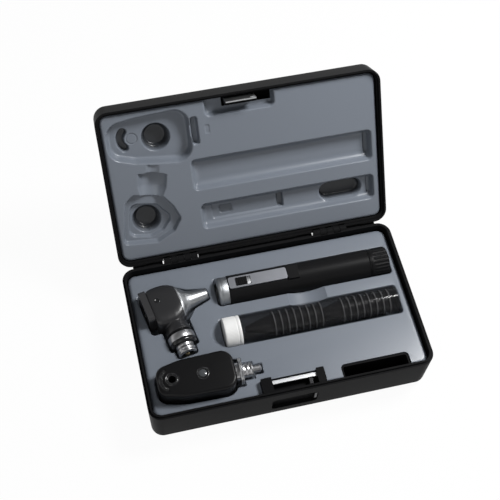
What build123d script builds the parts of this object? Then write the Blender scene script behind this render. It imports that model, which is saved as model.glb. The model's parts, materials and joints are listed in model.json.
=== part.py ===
from build123d import *
import os
from math import cos, radians, sin

# Diagnostic carry case: a hinged two-shell box with vacuum-formed liners that hold a battery handle,
# an otoscope head, an ophthalmoscope head and a tube of ear specula.
# Millimetres. +Z up, +X to the right, the front of the case faces -Y.
# The origin is the centre of the underside. Every piece is drawn in its place with the lid shut;
# the pieces of the lid are then turned open about the hinge axis.

os.makedirs("parts", exist_ok=True)


def save(part, name):
    """Label a finished piece and write it as its own STEP file."""
    part.label = name
    export_step(part, f"parts/{name}.step")


# ---------------------------------------------------------------- driving dimensions: the shells
CASE_W = 258.0          # outer width at the parting rim
CASE_D = 150.4          # outer depth at the parting rim
BASE_H = 47.0           # underside to parting plane
LID_H = 27.0            # parting plane to the top of the closed lid
CORNER_R = 12.0         # plan radius of the shell corners
EDGE_R = 7.0            # radius along the bottom and top edges
DRAFT = 1.5             # wall draft in degrees
WALL = 2.6              # shell wall
RIM_WALL = 3.7          # thickness of the bead that stiffens each rim
RIM_H = 6.0             # height of that bead
TONGUE_T = 1.7          # locating tongue on the base rim
TONGUE_H = 2.0
TONGUE_GAP = 0.2        # clearance round the tongue when shut
OPEN_ANGLE = 123.9      # lid travel from shut to the open stop

# ---------------------------------------------------------------- driving dimensions: the liners
SHEET = 1.2             # formed sheet
LINER_GAP = 0.3         # liner to rim bead
BASE_LINER_DROP = 4.8   # liner surface below the parting plane
LID_LINER_DROP = 3.8    # liner surface above the parting plane in the lid
SKIRT = 9.0             # folded edge round each liner
LINER_EDGE_R = 4.0      # roll between liner surface and skirt
LIP_R = 1.2             # roll at the mouth of a pocket
TROUGH_CORNER_R = 3.0   # plan corners of the long pockets
LIP_DEPTH = 3.0         # turned-down lip of an open cut-out
POCKET_GAP = 0.5        # instrument to pocket
POCKET_END_GAP = 1.3    # instrument to the ends of a long pocket

# ---------------------------------------------------------------- driving dimensions: the hinge
HINGE_Y = 76.2          # hinge axis behind the centre
HINGE_Z = BASE_H + 0.1
KNUCKLE_R = 3.6
KNUCKLE_GAP = 0.3       # between neighbouring knuckles
PIN_R = 1.5
PIN_GAP = 0.05
HINGE_X = 72.0          # centre of each hinge from the middle of the case
HINGE_L = 32.0          # length of each hinge
KNUCKLES = 5            # knuckles in one hinge, the outer ones on the base

# ---------------------------------------------------------------- driving dimensions: instruments
HANDLE_R = 14.0
HANDLE_Y = 37.2
HANDLE_Z = 40.7
HANDLE_X0 = -46.0       # neck end
HANDLE_X1 = 117.5       # end of the cap
TUBE_R = 13.2
TUBE_Y = -4.4
TUBE_Z = 40.7
TUBE_X0 = -33.5         # mouth, where the cap's skirt ends
TUBE_X1 = 115.5
TUBE_WALL = 1.0
CAP_R = 14.0
CAP_L = 15.5
OTO_X, OTO_Y, OTO_Z = -93.0, 31.0, 43.0
OTO_TURN = 10.0         # degrees the otoscope is turned in its pocket
OPH_Y = -44.7
OPH_Z = 43.3
OPH_X0, OPH_X1 = -117.0, -48.0
LIFT_TOP = 90.0         # well above every pocket: top of the cutting tools


# ---------------------------------------------------------------- shared shapes
def rounded_block(width, depth, radius, z0, z1, taper=0.0):
    """Rounded rectangular block between two heights, drawn at z0 and drafted towards z1."""
    with BuildPart() as block:
        with BuildSketch(Plane.XY.offset(z0)):
            RectangleRounded(width, depth, radius)
        extrude(amount=z1 - z0, taper=taper)
    return block.part


def inset_block(inset, z0, z1, taper=0.0):
    """The plan of the case, moved in by an inset, between two heights."""
    return rounded_block(CASE_W - 2 * inset, CASE_D - 2 * inset, CORNER_R - inset, z0, z1, taper)


def dished_block(inset, z_open, z_end, radius, taper=0.0):
    """Block with the plan of the case whose far end has rounded edges."""
    with BuildPart() as block:
        add(inset_block(inset, z_open, z_end, taper))
        fillet(block.faces().sort_by(Axis.Z)[-1 if z_end > z_open else 0].edges(), radius)
    return block.part


def box_between(x0, x1, y0, y1, z0, z1):
    """Plain box between two corners."""
    with BuildPart() as block:
        with Locations(((x0 + x1) / 2, (y0 + y1) / 2, (z0 + z1) / 2)):
            Box(x1 - x0, y1 - y0, z1 - z0)
    return block.part


def round_bar(plane, radius, start, end):
    """Cylinder along a plane's normal, from start to end."""
    with BuildPart() as bar:
        with BuildSketch(plane.offset(start)):
            Circle(radius)
        extrude(amount=end - start)
    return bar.part


def turned(plane, points):
    """Solid of revolution about a plane's X axis; the points are (along, radius)."""
    with BuildPart() as body:
        with BuildSketch(plane):
            with BuildLine():
                Polyline([(points[0][0], 0)] + points + [(points[-1][0], 0)], close=True)
            make_face()
        revolve(axis=Axis(plane.origin, plane.x_dir))
    return body.part


def along_x(y, z, x=0.0):
    """Plane whose normal runs along +X through (x, y, z), for round bars that lie along X."""
    return Plane(origin=(x, y, z), x_dir=(0, 1, 0), z_dir=(1, 0, 0))


def axis_x(y, z, x=0.0):
    """Plane whose own X axis runs along +X through (x, y, z), for turned pieces."""
    return Plane(origin=(x, y, z), x_dir=(1, 0, 0), z_dir=(0, -1, 0))


OTO = Plane(
    origin=(OTO_X, OTO_Y, OTO_Z),
    x_dir=(cos(radians(OTO_TURN)), sin(radians(OTO_TURN)), 0),
    z_dir=(0, 0, 1),
)
OTO_NOSE = Plane(origin=OTO.origin, x_dir=OTO.x_dir, z_dir=-OTO.y_dir)      # turns about the nose axis
OTO_NECK = Plane(origin=OTO.origin, x_dir=-OTO.y_dir, z_dir=-OTO.x_dir)     # turns about the neck axis

HINGE_AXIS = Axis((0, HINGE_Y, HINGE_Z), (1, 0, 0))


def opened(part):
    """Turn a piece of the shut lid to its open place."""
    return part.rotate(HINGE_AXIS, -OPEN_ANGLE)

# ================================================================ hinge layout shared by both shells
PITCH = HINGE_L / KNUCKLES
HINGE_CENTRES = (-HINGE_X, HINGE_X)


def knuckle_spans(first):
    """X spans of every second knuckle of both hinges, starting with the first or the second."""
    spans = []
    for centre in HINGE_CENTRES:
        for index in range(first, KNUCKLES, 2):
            left = centre - HINGE_L / 2 + index * PITCH
            spans.append((left + KNUCKLE_GAP / 2, left + PITCH - KNUCKLE_GAP / 2))
    return spans


LEAF_H = 6.0                        # height of a knuckle's arm on the rear wall
ARM_REACH = KNUCKLE_R * 0.6         # outer face of an arm behind the hinge axis
STOP_GAP = 0.15                     # lid arm to its open stop
STOP_H = 9.0                        # height of the stop wedge
STOP_H0 = 3.6                       # where its seat begins along the arm, clear of the knuckle
RELIEF = KNUCKLE_R + 0.5            # room cut round the opposite knuckles
RAIL_TOP = HINGE_Z - 2.1            # rail along the rear wall, under the edge of the open lid
RAIL_REACH = 4.2
RAIL_LIP = 1.5
RAIL_H = 6.5
RAIL_END_X = CASE_W / 2 - CORNER_R
RAIL_HINGE_GAP = 1.0


def stop_wedge(span):
    """Wedge on the base's rear wall that a lid knuckle's arm rests on when the lid is fully open."""
    turn = radians(OPEN_ANGLE)
    reach = ARM_REACH + STOP_GAP
    seat = [
        (HINGE_Y + reach * cos(turn) + h * sin(turn), HINGE_Z - reach * sin(turn) + h * cos(turn))
        for h in (STOP_H0, LEAF_H - 0.6)
    ]
    shelf = HINGE_Z - RELIEF - STOP_GAP
    with BuildPart() as wedge:
        with BuildSketch(Plane.YZ.offset(span[0] + KNUCKLE_GAP)):
            with BuildLine():
                Polyline((CASE_D / 2 - WALL / 2, shelf - STOP_H), (CASE_D / 2 - WALL / 2, shelf),
                         (HINGE_Y, shelf), *seat, (CASE_D / 2 - WALL / 4, shelf - STOP_H), close=True)
            make_face()
        extrude(amount=span[1] - span[0] - 2 * KNUCKLE_GAP)
    return wedge.part


def stop_rails():
    """Rails on the base's rear wall, beside and between the hinges, that close the gap behind the lid."""
    hinge_half = HINGE_L / 2 + RAIL_HINGE_GAP
    wall = CASE_D / 2 - WALL / 2
    outside = CASE_D / 2 + RAIL_REACH
    with BuildPart() as rails:
        for x0, x1 in ((-RAIL_END_X, -HINGE_X - hinge_half), (-HINGE_X + hinge_half, HINGE_X - hinge_half),
                       (HINGE_X + hinge_half, RAIL_END_X)):
            with BuildSketch(Plane.YZ.offset(x0)):
                with BuildLine():
                    Polyline((wall, RAIL_TOP - RAIL_H), (wall, RAIL_TOP), (outside, RAIL_TOP),
                             (outside, RAIL_TOP - RAIL_LIP), (CASE_D / 2, RAIL_TOP - RAIL_H), close=True)
                make_face()
            extrude(amount=x1 - x0)
    return rails.part


def knuckle(span, side):
    """One knuckle with its arm; side is -1 below the parting plane and +1 above it."""
    x0, x1 = span
    low, high = sorted((HINGE_Z, HINGE_Z + side * LEAF_H))
    with BuildPart() as piece:
        add(round_bar(along_x(HINGE_Y, HINGE_Z), KNUCKLE_R, x0, x1))
        add(box_between(x0, x1, CASE_D / 2 - WALL / 2, HINGE_Y + ARM_REACH, low, high))
    return piece.part


# ================================================================ base shell
FLOOR = WALL
RECESS_X0, RECESS_X1 = -20.5, 21.5      # finger recess in the front wall
RECESS_Z0, RECESS_Z1 = 14.5, 35.5
RECESS_DEPTH = 4.6
RECESS_R = 4.0
TRAVEL = 5.0                            # latch travel
TAB_X1 = RECESS_X1 - 0.6                # right side of the latch tab with the latch open
TAB_W = 2.2
NECK_Z = 25.0                           # height of the tab's neck through the wall
NECK_H = 4.0
SLOT_GAP = 0.4
POCKET_X0, POCKET_X1 = 45.2, 108.4      # small compartment at the front right
POCKET_Y = -57.0                        # its rear side
POCKET_CORNER_R = 4.0
RIB_T = 1.6
RIB_GAP = 0.4
RIB_TOP = BASE_H - BASE_LINER_DROP - 1.5
POST_TOP = BASE_H - BASE_LINER_DROP - SKIRT - 0.3
POST_W = 8.0
POST_REACH = 1.5                        # how far a post runs in under the skirt
POST_XS = (-88.0, -38.0, 37.0, 116.0)
POST_YS = (-36.0, 36.0)
FRONT = -CASE_D / 2
BULGE_Y = FRONT + RECESS_DEPTH + 2.0    # inner face of the wall behind the recess


def skirt_posts(z0, z1):
    """Posts along the four walls of a shell that carry the skirt of its liner."""
    reach = RIM_WALL + LINER_GAP + SHEET + POST_REACH
    with BuildPart() as posts:
        for x in POST_XS:
            for y0, y1 in ((-CASE_D / 2, -CASE_D / 2 + reach), (CASE_D / 2 - reach, CASE_D / 2)):
                add(box_between(x - POST_W / 2, x + POST_W / 2, y0, y1, z0, z1))
        for y in POST_YS:
            for x0, x1 in ((-CASE_W / 2, -CASE_W / 2 + reach), (CASE_W / 2 - reach, CASE_W / 2)):
                add(box_between(x0, x1, y - POST_W / 2, y + POST_W / 2, z0, z1))
    return posts.part


def compartment_walls():
    """Three walls of the small compartment, just inside the lip of the liner's cut-out."""
    length = POCKET_X1 - POCKET_X0 - 2 * RIB_GAP
    reach = POCKET_Y - RIB_GAP - FRONT
    radius = POCKET_CORNER_R - RIB_GAP
    with BuildPart() as walls:
        with BuildSketch(Plane.XY.offset(FLOOR / 2)):
            with Locations(((POCKET_X0 + POCKET_X1) / 2, FRONT)):
                RectangleRounded(length, 2 * reach, radius)
                RectangleRounded(length - 2 * RIB_T, 2 * (reach - RIB_T), radius - RIB_T, mode=Mode.SUBTRACT)
            with Locations(((POCKET_X0 + POCKET_X1) / 2, FRONT - reach + WALL)):
                Rectangle(2 * length, 2 * reach, mode=Mode.SUBTRACT)
        extrude(amount=RIB_TOP - FLOOR / 2)
    return walls.part


with BuildPart() as base_shell:
    add(dished_block(0, BASE_H, 0, EDGE_R, DRAFT))
    add(dished_block(WALL, BASE_H, FLOOR, EDGE_R - WALL, DRAFT), mode=Mode.SUBTRACT)
    add(inset_block(WALL / 2, BASE_H - RIM_H, BASE_H))
    add(inset_block(RIM_WALL, BASE_H - RIM_H, BASE_H), mode=Mode.SUBTRACT)
    add(inset_block(RIM_WALL - TONGUE_T, BASE_H - RIM_H / 2, BASE_H + TONGUE_H))
    add(inset_block(RIM_WALL, BASE_H - RIM_H, BASE_H + TONGUE_H), mode=Mode.SUBTRACT)
    add(skirt_posts(FLOOR / 2, POST_TOP) & dished_block(WALL / 2, BASE_H, FLOOR / 2, EDGE_R, DRAFT))
    add(compartment_walls())
    # bulge behind the finger recess, the recess, and the slot for the latch tab
    add(box_between(RECESS_X0 - 2, RECESS_X1 + 2, FRONT + WALL, BULGE_Y, RECESS_Z0 - 2, RECESS_Z1 + 2))
    with BuildSketch(Plane.XZ.offset(-FRONT + 1)):
        with Locations(((RECESS_X0 + RECESS_X1) / 2, (RECESS_Z0 + RECESS_Z1) / 2)):
            RectangleRounded(RECESS_X1 - RECESS_X0, RECESS_Z1 - RECESS_Z0, RECESS_R)
    extrude(amount=-(RECESS_DEPTH + 1), mode=Mode.SUBTRACT)
    add(
        box_between(
            TAB_X1 - TAB_W - TRAVEL - SLOT_GAP, TAB_X1 + SLOT_GAP, FRONT, BULGE_Y + 1,
            NECK_Z - NECK_H / 2 - SLOT_GAP, NECK_Z + NECK_H / 2 + SLOT_GAP,
        ),
        mode=Mode.SUBTRACT,
    )
    # hinge knuckles
    for span in knuckle_spans(1):
        add(box_between(span[0] - KNUCKLE_GAP, span[1] + KNUCKLE_GAP, HINGE_Y - RELIEF, HINGE_Y + RELIEF,
                        HINGE_Z - RELIEF, HINGE_Z + RELIEF), mode=Mode.SUBTRACT)
    for span in knuckle_spans(0):
        add(knuckle(span, -1))
    for span in knuckle_spans(1):
        add(stop_wedge(span))
    add(stop_rails())
    for centre in HINGE_CENTRES:
        add(round_bar(along_x(HINGE_Y, HINGE_Z), PIN_R, centre - HINGE_L, centre + HINGE_L),
            mode=Mode.SUBTRACT)

save(base_shell.part, "base_shell")

# ================================================================ lid shell
LID_TOP = BASE_H + LID_H
LID_CEILING = LID_TOP - WALL
GROOVE = RIM_WALL - TONGUE_T - TONGUE_GAP       # width of the lid rim outside the tongue
LID_POST_Z = BASE_H + LID_LINER_DROP + SKIRT + 0.3

with BuildPart() as lid_shell:
    add(dished_block(0, BASE_H, LID_TOP, EDGE_R, DRAFT))
    add(dished_block(WALL, BASE_H, LID_CEILING, EDGE_R - WALL, DRAFT), mode=Mode.SUBTRACT)
    add(inset_block(WALL / 2, BASE_H, BASE_H + RIM_H))
    add(inset_block(RIM_WALL, BASE_H, BASE_H + RIM_H), mode=Mode.SUBTRACT)
    add(inset_block(GROOVE, BASE_H, BASE_H + TONGUE_H + TONGUE_GAP), mode=Mode.SUBTRACT)
    add(skirt_posts(LID_POST_Z, LID_CEILING + WALL / 2)
        & dished_block(WALL / 2, BASE_H, LID_CEILING + WALL / 2, EDGE_R, DRAFT))
    for span in knuckle_spans(0):
        add(box_between(span[0] - KNUCKLE_GAP, span[1] + KNUCKLE_GAP, HINGE_Y - RELIEF, HINGE_Y + RELIEF,
                        HINGE_Z - RELIEF, HINGE_Z + RELIEF), mode=Mode.SUBTRACT)
    for span in knuckle_spans(1):
        add(knuckle(span, 1))
    for centre in HINGE_CENTRES:
        add(round_bar(along_x(HINGE_Y, HINGE_Z), PIN_R + PIN_GAP, centre - HINGE_L, centre + HINGE_L),
            mode=Mode.SUBTRACT)

save(opened(lid_shell.part), "lid_shell")

with BuildPart() as hinge_pins:
    for centre in HINGE_CENTRES:
        add(round_bar(along_x(HINGE_Y, HINGE_Z), PIN_R, centre - HINGE_L / 2, centre + HINGE_L / 2))

save(hinge_pins.part, "hinge_pins")

# ================================================================ liners
LINER_INSET = RIM_WALL + LINER_GAP
BASE_SURFACE = BASE_H - BASE_LINER_DROP
LID_SURFACE = BASE_H + LID_LINER_DROP

# instrument sizes that the pockets follow
OTO_BODY_R = 20.0           # otoscope body round its nose axis
OTO_FLAT = 13.0             # half thickness between the flats
OTO_BACK = -22.0            # rear of the eyepiece frame along the nose axis
OTO_NOSE_END = 38.0
OTO_RING_R = 12.4
OTO_RING_V0, OTO_RING_V1 = 31.0, 41.5       # collar, measured down the neck
OTO_PLUG_R = 8.6
OTO_END_V = 50.0
OPH_HALF_W = 18.6
# outline of the ophthalmoscope body: (x, y from its axis, radius) of each corner
OPH_CORNERS = (
    (OPH_X0, -12.6, 9.5), (-95.0, -17.4, 60), (OPH_X1, -OPH_HALF_W, 11), (OPH_X1, OPH_HALF_W, 11),
    (-95.0, 17.4, 60), (OPH_X0, 12.6, 9.5),
)
OPH_HALF_T = 14.4
OPH_NECK_OVERLAP = 11.0     # how far the neck's pocket runs in under the body's
OPH_FLANGE_R = 12.3
OPH_FLANGE_X0, OPH_FLANGE_X1 = -44.8, -41.6
OPH_PLUG_R = 7.0
OPH_PLUG_X1 = -32.0
OPH_TIP_R = 3.6
OPH_TIP_X1 = -24.0


def trough(x0, x1, y, z, radius, mouth, grow):
    """Lying round-bottomed pocket in the base: a cylinder along X with straight sides up to its mouth
    and rounded corners in plan."""
    reach = radius + grow
    with BuildPart() as tool:
        with BuildSketch(Plane.YZ.offset(x0 - grow)):
            with Locations((y, z)):
                Circle(reach)
            with Locations((y, (z + mouth) / 2)):
                Rectangle(2 * reach, mouth - z)
            with Locations((y, mouth + reach)):
                Rectangle(4 * reach, 2 * reach, mode=Mode.SUBTRACT)
        extrude(amount=x1 - x0 + 2 * grow)
        with BuildSketch(Plane.XY.offset(z - 2 * reach)):
            with Locations(((x0 + x1) / 2, y)):
                RectangleRounded(x1 - x0 + 2 * grow, 2 * reach, TROUGH_CORNER_R + grow)
        extrude(amount=mouth - z + 3 * reach, mode=Mode.INTERSECT)
    return tool.part


def well(sketch, grow, z_floor, z_mouth, taper=0.0):
    """Flat-bottomed pocket from a plan outline, from its mouth to its floor, sheet growth included."""
    with BuildPart() as tool:
        with BuildSketch(Plane.XY.offset(z_mouth)):
            add(sketch)
            if grow:
                offset(amount=grow, kind=Kind.ARC)
        step = grow if z_floor > z_mouth else -grow
        extrude(amount=z_floor + step - z_mouth, taper=taper)
    return tool.part


def slot_plan(x, y, length, width, turn=0.0):
    """Obround outline centred on (x, y)."""
    with BuildSketch() as plan:
        with Locations(Location((x, y), turn)):
            SlotOverall(length, width)
    return plan.sketch


def disc_plan(x, y, radius):
    """Round outline centred on (x, y)."""
    with BuildSketch() as plan:
        with Locations((x, y)):
            Circle(radius)
    return plan.sketch


def rounded_plan(x0, x1, y0, y1, radius):
    """Rounded rectangular outline between two corners."""
    with BuildSketch() as plan:
        with Locations(((x0 + x1) / 2, (y0 + y1) / 2)):
            RectangleRounded(x1 - x0, y1 - y0, radius)
    return plan.sketch


def cornered_plan(corners):
    """Outline through corners given anticlockwise as (x, y, radius)."""
    with BuildSketch() as plan:
        with BuildLine():
            FilletPolyline(*[corner[:2] for corner in corners], radius=[corner[2] for corner in corners],
                           close=True)
        make_face()
    return plan.sketch


def oto_pocket_plan(gap):
    """Outline of the otoscope lying on its side: barrel and eyepiece, nose to the right, collar to the front.
    Each corner is (along the nose, up the neck, corner radius)."""
    back, body = OTO_BACK - gap, OTO_BODY_R + gap
    nose, tip = OTO_NOSE_END + gap, 4.6 + gap
    ring, ring_end = OTO_RING_R + gap, OTO_RING_V1 + gap
    plug, plug_end = OTO_PLUG_R + gap, OTO_END_V + gap
    corners = (
        (back, body, 4), (8, body, 10), (22, 11.5, 10), (nose, tip, 2.5), (nose, -tip, 2.5), (22, -9.5, 6),
        (ring, -body + 3, 2), (ring, -ring_end, 1.8), (plug, -ring_end, 1.8), (plug, -plug_end, 3),
        (-plug, -plug_end, 3), (-plug, -ring_end, 1.8), (-ring, -ring_end, 1.8), (-ring, -body, 3),
        (back, -body, 4),
    )
    return cornered_plan(corners).moved(Location((OTO_X, OTO_Y, 0), (0, 0, OTO_TURN)))


def oph_body_plan(gap):
    """Egg-shaped outline of the ophthalmoscope body, broad at the neck."""
    with BuildSketch() as plan:
        add(cornered_plan(OPH_CORNERS).moved(Location((0, OPH_Y, 0))))
        if gap:
            offset(amount=gap, kind=Kind.ARC)
    return plan.sketch


def oph_neck_plan(gap):
    """Outline of the flange, threaded plug and contact tip of the ophthalmoscope."""
    steps = (
        (OPH_X1 - OPH_NECK_OVERLAP, OPH_FLANGE_X1, OPH_FLANGE_R),
        (OPH_FLANGE_X1 - 5, OPH_PLUG_X1, OPH_PLUG_R),
        (OPH_PLUG_X1 - 5, OPH_TIP_X1, OPH_TIP_R),
    )
    with BuildSketch() as plan:
        for x0, x1, radius in steps:
            with Locations(((x0 + x1 + gap) / 2, OPH_Y)):
                Rectangle(x1 + gap - x0, 2 * (radius + gap))
        fillet(plan.vertices(), 0.8)
    return plan.sketch


SCOOP_X0, SCOOP_X1 = 16.5, 52.5         # finger scoop between handle and tube
SCOOP_DEPTH = 5.0
SCOOP_R = ((SCOOP_X1 - SCOOP_X0) ** 2 / 4 + SCOOP_DEPTH**2) / (2 * SCOOP_DEPTH)
END_SCOOP_R = 11.0                      # half-round finger hollow at the cap end of the tube's pocket
END_SCOOP_DEPTH = 4.0
END_SCOOP_BALL_R = (END_SCOOP_R**2 + END_SCOOP_DEPTH**2) / (2 * END_SCOOP_DEPTH)
LATCH_CUT_X0, LATCH_CUT_X1 = -28.6, 29.6
LATCH_CUT_Y = -57.0
LATCH_CUT_CORNER_R = 0.8
CUT_OVERRUN = 12.0                      # how far a cut-out runs past the front edge
HANDLE_POCKET_R = HANDLE_R + POCKET_GAP
TUBE_POCKET_R = CAP_R + POCKET_GAP


def base_pockets(grow, mouth):
    """Every closed pocket of the base liner; grow adds the sheet for the outside."""
    with BuildPart() as tools:
        add(trough(HANDLE_X0 - POCKET_END_GAP, HANDLE_X1 + POCKET_END_GAP, HANDLE_Y, HANDLE_Z, HANDLE_POCKET_R,
                   mouth, grow))
        add(trough(TUBE_X0 - CAP_L - POCKET_END_GAP, TUBE_X1 + POCKET_END_GAP, TUBE_Y, TUBE_Z, TUBE_POCKET_R,
                   mouth, grow))
        add(well(oto_pocket_plan(1.2), grow, OTO_Z - OTO_BODY_R * 0.8, mouth))
        add(well(oph_body_plan(1.5), grow, OPH_Z - OPH_HALF_T - POCKET_GAP, mouth))
        add(well(oph_neck_plan(1.2), grow, OPH_Z - OPH_FLANGE_R - POCKET_GAP, mouth))
    return tools.part


def scoop(grow, mouth):
    """Shallow hollow across the land between the handle and the tube, where fingers reach under them."""
    with BuildPart() as tool:
        with BuildSketch(Plane.XZ.offset(-(TUBE_Y + TUBE_POCKET_R / 2))):
            with Locations(((SCOOP_X0 + SCOOP_X1) / 2, BASE_SURFACE - SCOOP_DEPTH + SCOOP_R)):
                Circle(SCOOP_R + grow)
            with Locations(((SCOOP_X0 + SCOOP_X1) / 2, mouth + SCOOP_R)):
                Rectangle(3 * SCOOP_R, 2 * SCOOP_R, mode=Mode.SUBTRACT)
        extrude(amount=-(HANDLE_Y - HANDLE_POCKET_R / 2 - TUBE_Y - TUBE_POCKET_R / 2))
    return tool.part


def end_scoop(grow, mouth):
    """Half-round hollow where a finger reaches under the cap of the tube."""
    with BuildPart() as tool:
        with Locations((TUBE_X0 - CAP_L - POCKET_END_GAP, TUBE_Y,
                        BASE_SURFACE - END_SCOOP_DEPTH + END_SCOOP_BALL_R)):
            Sphere(END_SCOOP_BALL_R + grow)
        add(inset_block(0, mouth, mouth + 2 * END_SCOOP_BALL_R), mode=Mode.SUBTRACT)
    return tool.part


def front_cuts(grow, z0, z1):
    """The two cut-outs that run out to the front edge: the latch and the small compartment."""
    with BuildPart() as tools:
        for x0, x1, y, radius in (
            (LATCH_CUT_X0, LATCH_CUT_X1, LATCH_CUT_Y, LATCH_CUT_CORNER_R),
            (POCKET_X0, POCKET_X1, POCKET_Y, POCKET_CORNER_R),
        ):
            with BuildSketch(Plane.XY.offset(z0)):
                add(rounded_plan(x0 - grow, x1 + grow, FRONT - CUT_OVERRUN, y + grow, radius + grow))
            extrude(amount=z1 - z0)
    return tools.part


def folded_sheet(surface, down):
    """Plate with a rolled edge and a skirt, open on the side away from the case's contents."""
    with BuildPart() as sheet:
        add(dished_block(LINER_INSET, surface + down * SKIRT, surface, LINER_EDGE_R))
        add(dished_block(LINER_INSET + SHEET, surface + down * (SKIRT + 1), surface + down * SHEET,
                         LINER_EDGE_R - SHEET), mode=Mode.SUBTRACT)
    return sheet.part


def mouths(part, surface):
    """Outlines of the pocket mouths in the liner's surface, from left to right."""
    level = [face for face in part.faces().filter_by(Axis.Z) if abs(face.center().Z - surface) < 0.01]
    top = ShapeList(level).sort_by(SortBy.AREA)[-1]
    return sorted(top.inner_wires(), key=lambda wire: wire.center(CenterOf.BOUNDING_BOX).X)


def cut_out_lips():
    """Turned-down lips round the two front cut-outs, before the cut-outs are made."""
    with BuildPart() as lips:
        add(inset_block(LINER_INSET, BASE_SURFACE - SHEET - LIP_DEPTH, BASE_SURFACE - SHEET / 2))
        add(front_cuts(SHEET, 0, BASE_H), mode=Mode.INTERSECT)
    return lips.part


with BuildPart() as base_liner:
    add(folded_sheet(BASE_SURFACE, -1))
    add(base_pockets(SHEET, BASE_SURFACE - SHEET / 2))
    add(scoop(SHEET, BASE_SURFACE - SHEET / 2))
    add(end_scoop(SHEET, BASE_SURFACE - SHEET / 2))
    add(cut_out_lips())
    add(base_pockets(0, LIFT_TOP), mode=Mode.SUBTRACT)
    add(front_cuts(0, 0, LIFT_TOP), mode=Mode.SUBTRACT)
    for index in range(len(mouths(base_liner.part, BASE_SURFACE))):
        fillet(mouths(base_liner.part, BASE_SURFACE)[index].edges(), LIP_R)
    add(scoop(0, LIFT_TOP), mode=Mode.SUBTRACT)
    add(end_scoop(0, LIFT_TOP), mode=Mode.SUBTRACT)

save(base_liner.part, "base_liner")

# ---------------------------------------------------------------- lid liner
LID_TAPER = 12.0                # wall draft of the lid's shaped recesses
DEEPEST = LID_CEILING - 0.3 - SHEET     # deepest pocket floor under the lid's ceiling
CATCH_X = 13.8                  # half length of the catch
CATCH_BACK_Y = -64.2
CATCH_FRONT_Y = -69.2
WINDOW_GAP = 1.4
LID_LATCH_DEPTH = 8.0
LID_TROUGH_X0, LID_TROUGH_X1 = -50.6, 118.5


def pool(plan, grow, mouth, floor, taper, floor_r):
    """Recess in the lid liner with drafted walls and a rolled floor edge."""
    with BuildPart() as tool:
        add(well(plan, grow, floor, mouth, taper))
        fillet(tool.faces().sort_by(Axis.Z)[-1].edges(), floor_r + grow)
    return tool.part


# recess over the ophthalmoscope: (x, y, radius) of each corner of its outline
OPH_LID_CORNERS = (
    (-121.0, -59.8, 14), (-95.0, -64.2, 40), (-46.0, -67.4, 14),
    (-46.0, -20.4, 14), (-95.0, -25.0, 40), (-121.0, -28.7, 14),
)
LIP_FLARE = 0.9                 # sloping lip round the mouth of that recess
FLARE_OVERRUN = 0.4


def oto_lid_plan(corners):
    """Outline in the otoscope's own frame; each corner is (along the nose, up the neck, radius)."""
    return cornered_plan(corners).moved(Location((OTO_X, OTO_Y, 0), (0, 0, OTO_TURN)))


OTO_LID_OUTER = ((-22.6, -19, 5), (8, -19, 6), (28.5, 1.5, 8), (22, 16, 8), (5, 23.5, 10), (-22.6, 23.5, 6))
OTO_LID_INNER = ((-19.5, -14.5, 4), (5, -14.5, 6), (21, 1.5, 7), (15.5, 13.5, 7), (2, 20.5, 8), (-19.5, 20.5, 5))


# half section of the lid's recess over the otoscope's neck: (down the neck, radius)
NECK_FUNNEL = ((8.0, 14.8), (43.0, 14.8))
STUB_FUNNEL = ((40.0, 9.3), (51.5, 9.3))


def neck_funnel(profile, grow):
    """Lying funnel in the lid along the otoscope's neck."""
    start, end = profile[0], profile[-1]
    points = [start] + list(profile[1:-1]) + [(end[0] + grow, end[1])]
    with BuildPart() as tool:
        add(turned(OTO_NECK, [(along, radius + grow) for along, radius in points]))
        add(inset_block(0, 0, LID_SURFACE + SHEET / 2 if grow else LID_SURFACE - SHEET), mode=Mode.SUBTRACT)
    return tool.part


CUP_STEP = 1.3                  # each ring of a stepped cup is this much smaller
CUP_RINGS = (64.0, 66.5)        # heights of the steps


def cup(x, y, radius, grow, mouth):
    """Deep round cup in the lid with two stepped rings."""
    with BuildPart() as tool:
        add(well(disc_plan(x, y, radius), grow, CUP_RINGS[0], mouth))
        add(well(disc_plan(x, y, radius - CUP_STEP), grow, CUP_RINGS[1], mouth))
        add(well(disc_plan(x, y, radius - 2 * CUP_STEP), grow, DEEPEST, mouth))
    return tool.part


def lid_pockets(grow, mouth):
    """Pockets of the lid liner over the tube, handle and otoscope; grow adds the sheet for the outside."""
    with BuildPart() as tools:
        # over the tube of specula
        add(pool(rounded_plan(LID_TROUGH_X0, LID_TROUGH_X1, -18.7, 10.7, 4), grow, mouth, 59.8, 15.0, 5.0))
        add(well(rounded_plan(111.0, 118.5, -17.0, 9.5, 2.5), grow, 62.8, mouth))
        # over the handle
        add(pool(rounded_plan(-47.0, LID_TROUGH_X1, 25.8, 49.4, 4), grow, mouth, 58.8, 15.0, 5.0))
        add(well(rounded_plan(-37.0, 31.5, 29.6, 45.0, 2), grow, 60.0, mouth))
        add(well(rounded_plan(25.3, 31.5, 29.6, 45.0, 2), grow, 62.5, mouth))
        add(well(rounded_plan(-30.0, -17.5, 33.0, 41.5, 1.5), grow, 61.5, mouth))
        add(well(slot_plan(86.7, 38.2, 41.5, 18.7), grow, 67.8, mouth))
        add(well(rounded_plan(113.0, 117.5, 28.5, 46.9, 2), grow, 60.8, mouth))
        # over the otoscope
        add(well(oto_lid_plan(OTO_LID_OUTER), grow, 57.0, mouth))
        add(well(oto_lid_plan(OTO_LID_INNER), grow, 60.8, mouth))
        add(cup(-97.1, 31.4, 13.3, grow, mouth))
        add(neck_funnel(NECK_FUNNEL, grow))
        add(neck_funnel(STUB_FUNNEL, grow))
    return tools.part


def oph_lid_neck():
    """Outline of the narrow end of the recess, over the ophthalmoscope's flange."""
    return rounded_plan(-52.0, -39.3, -56.4, -33.0, 2)


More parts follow.
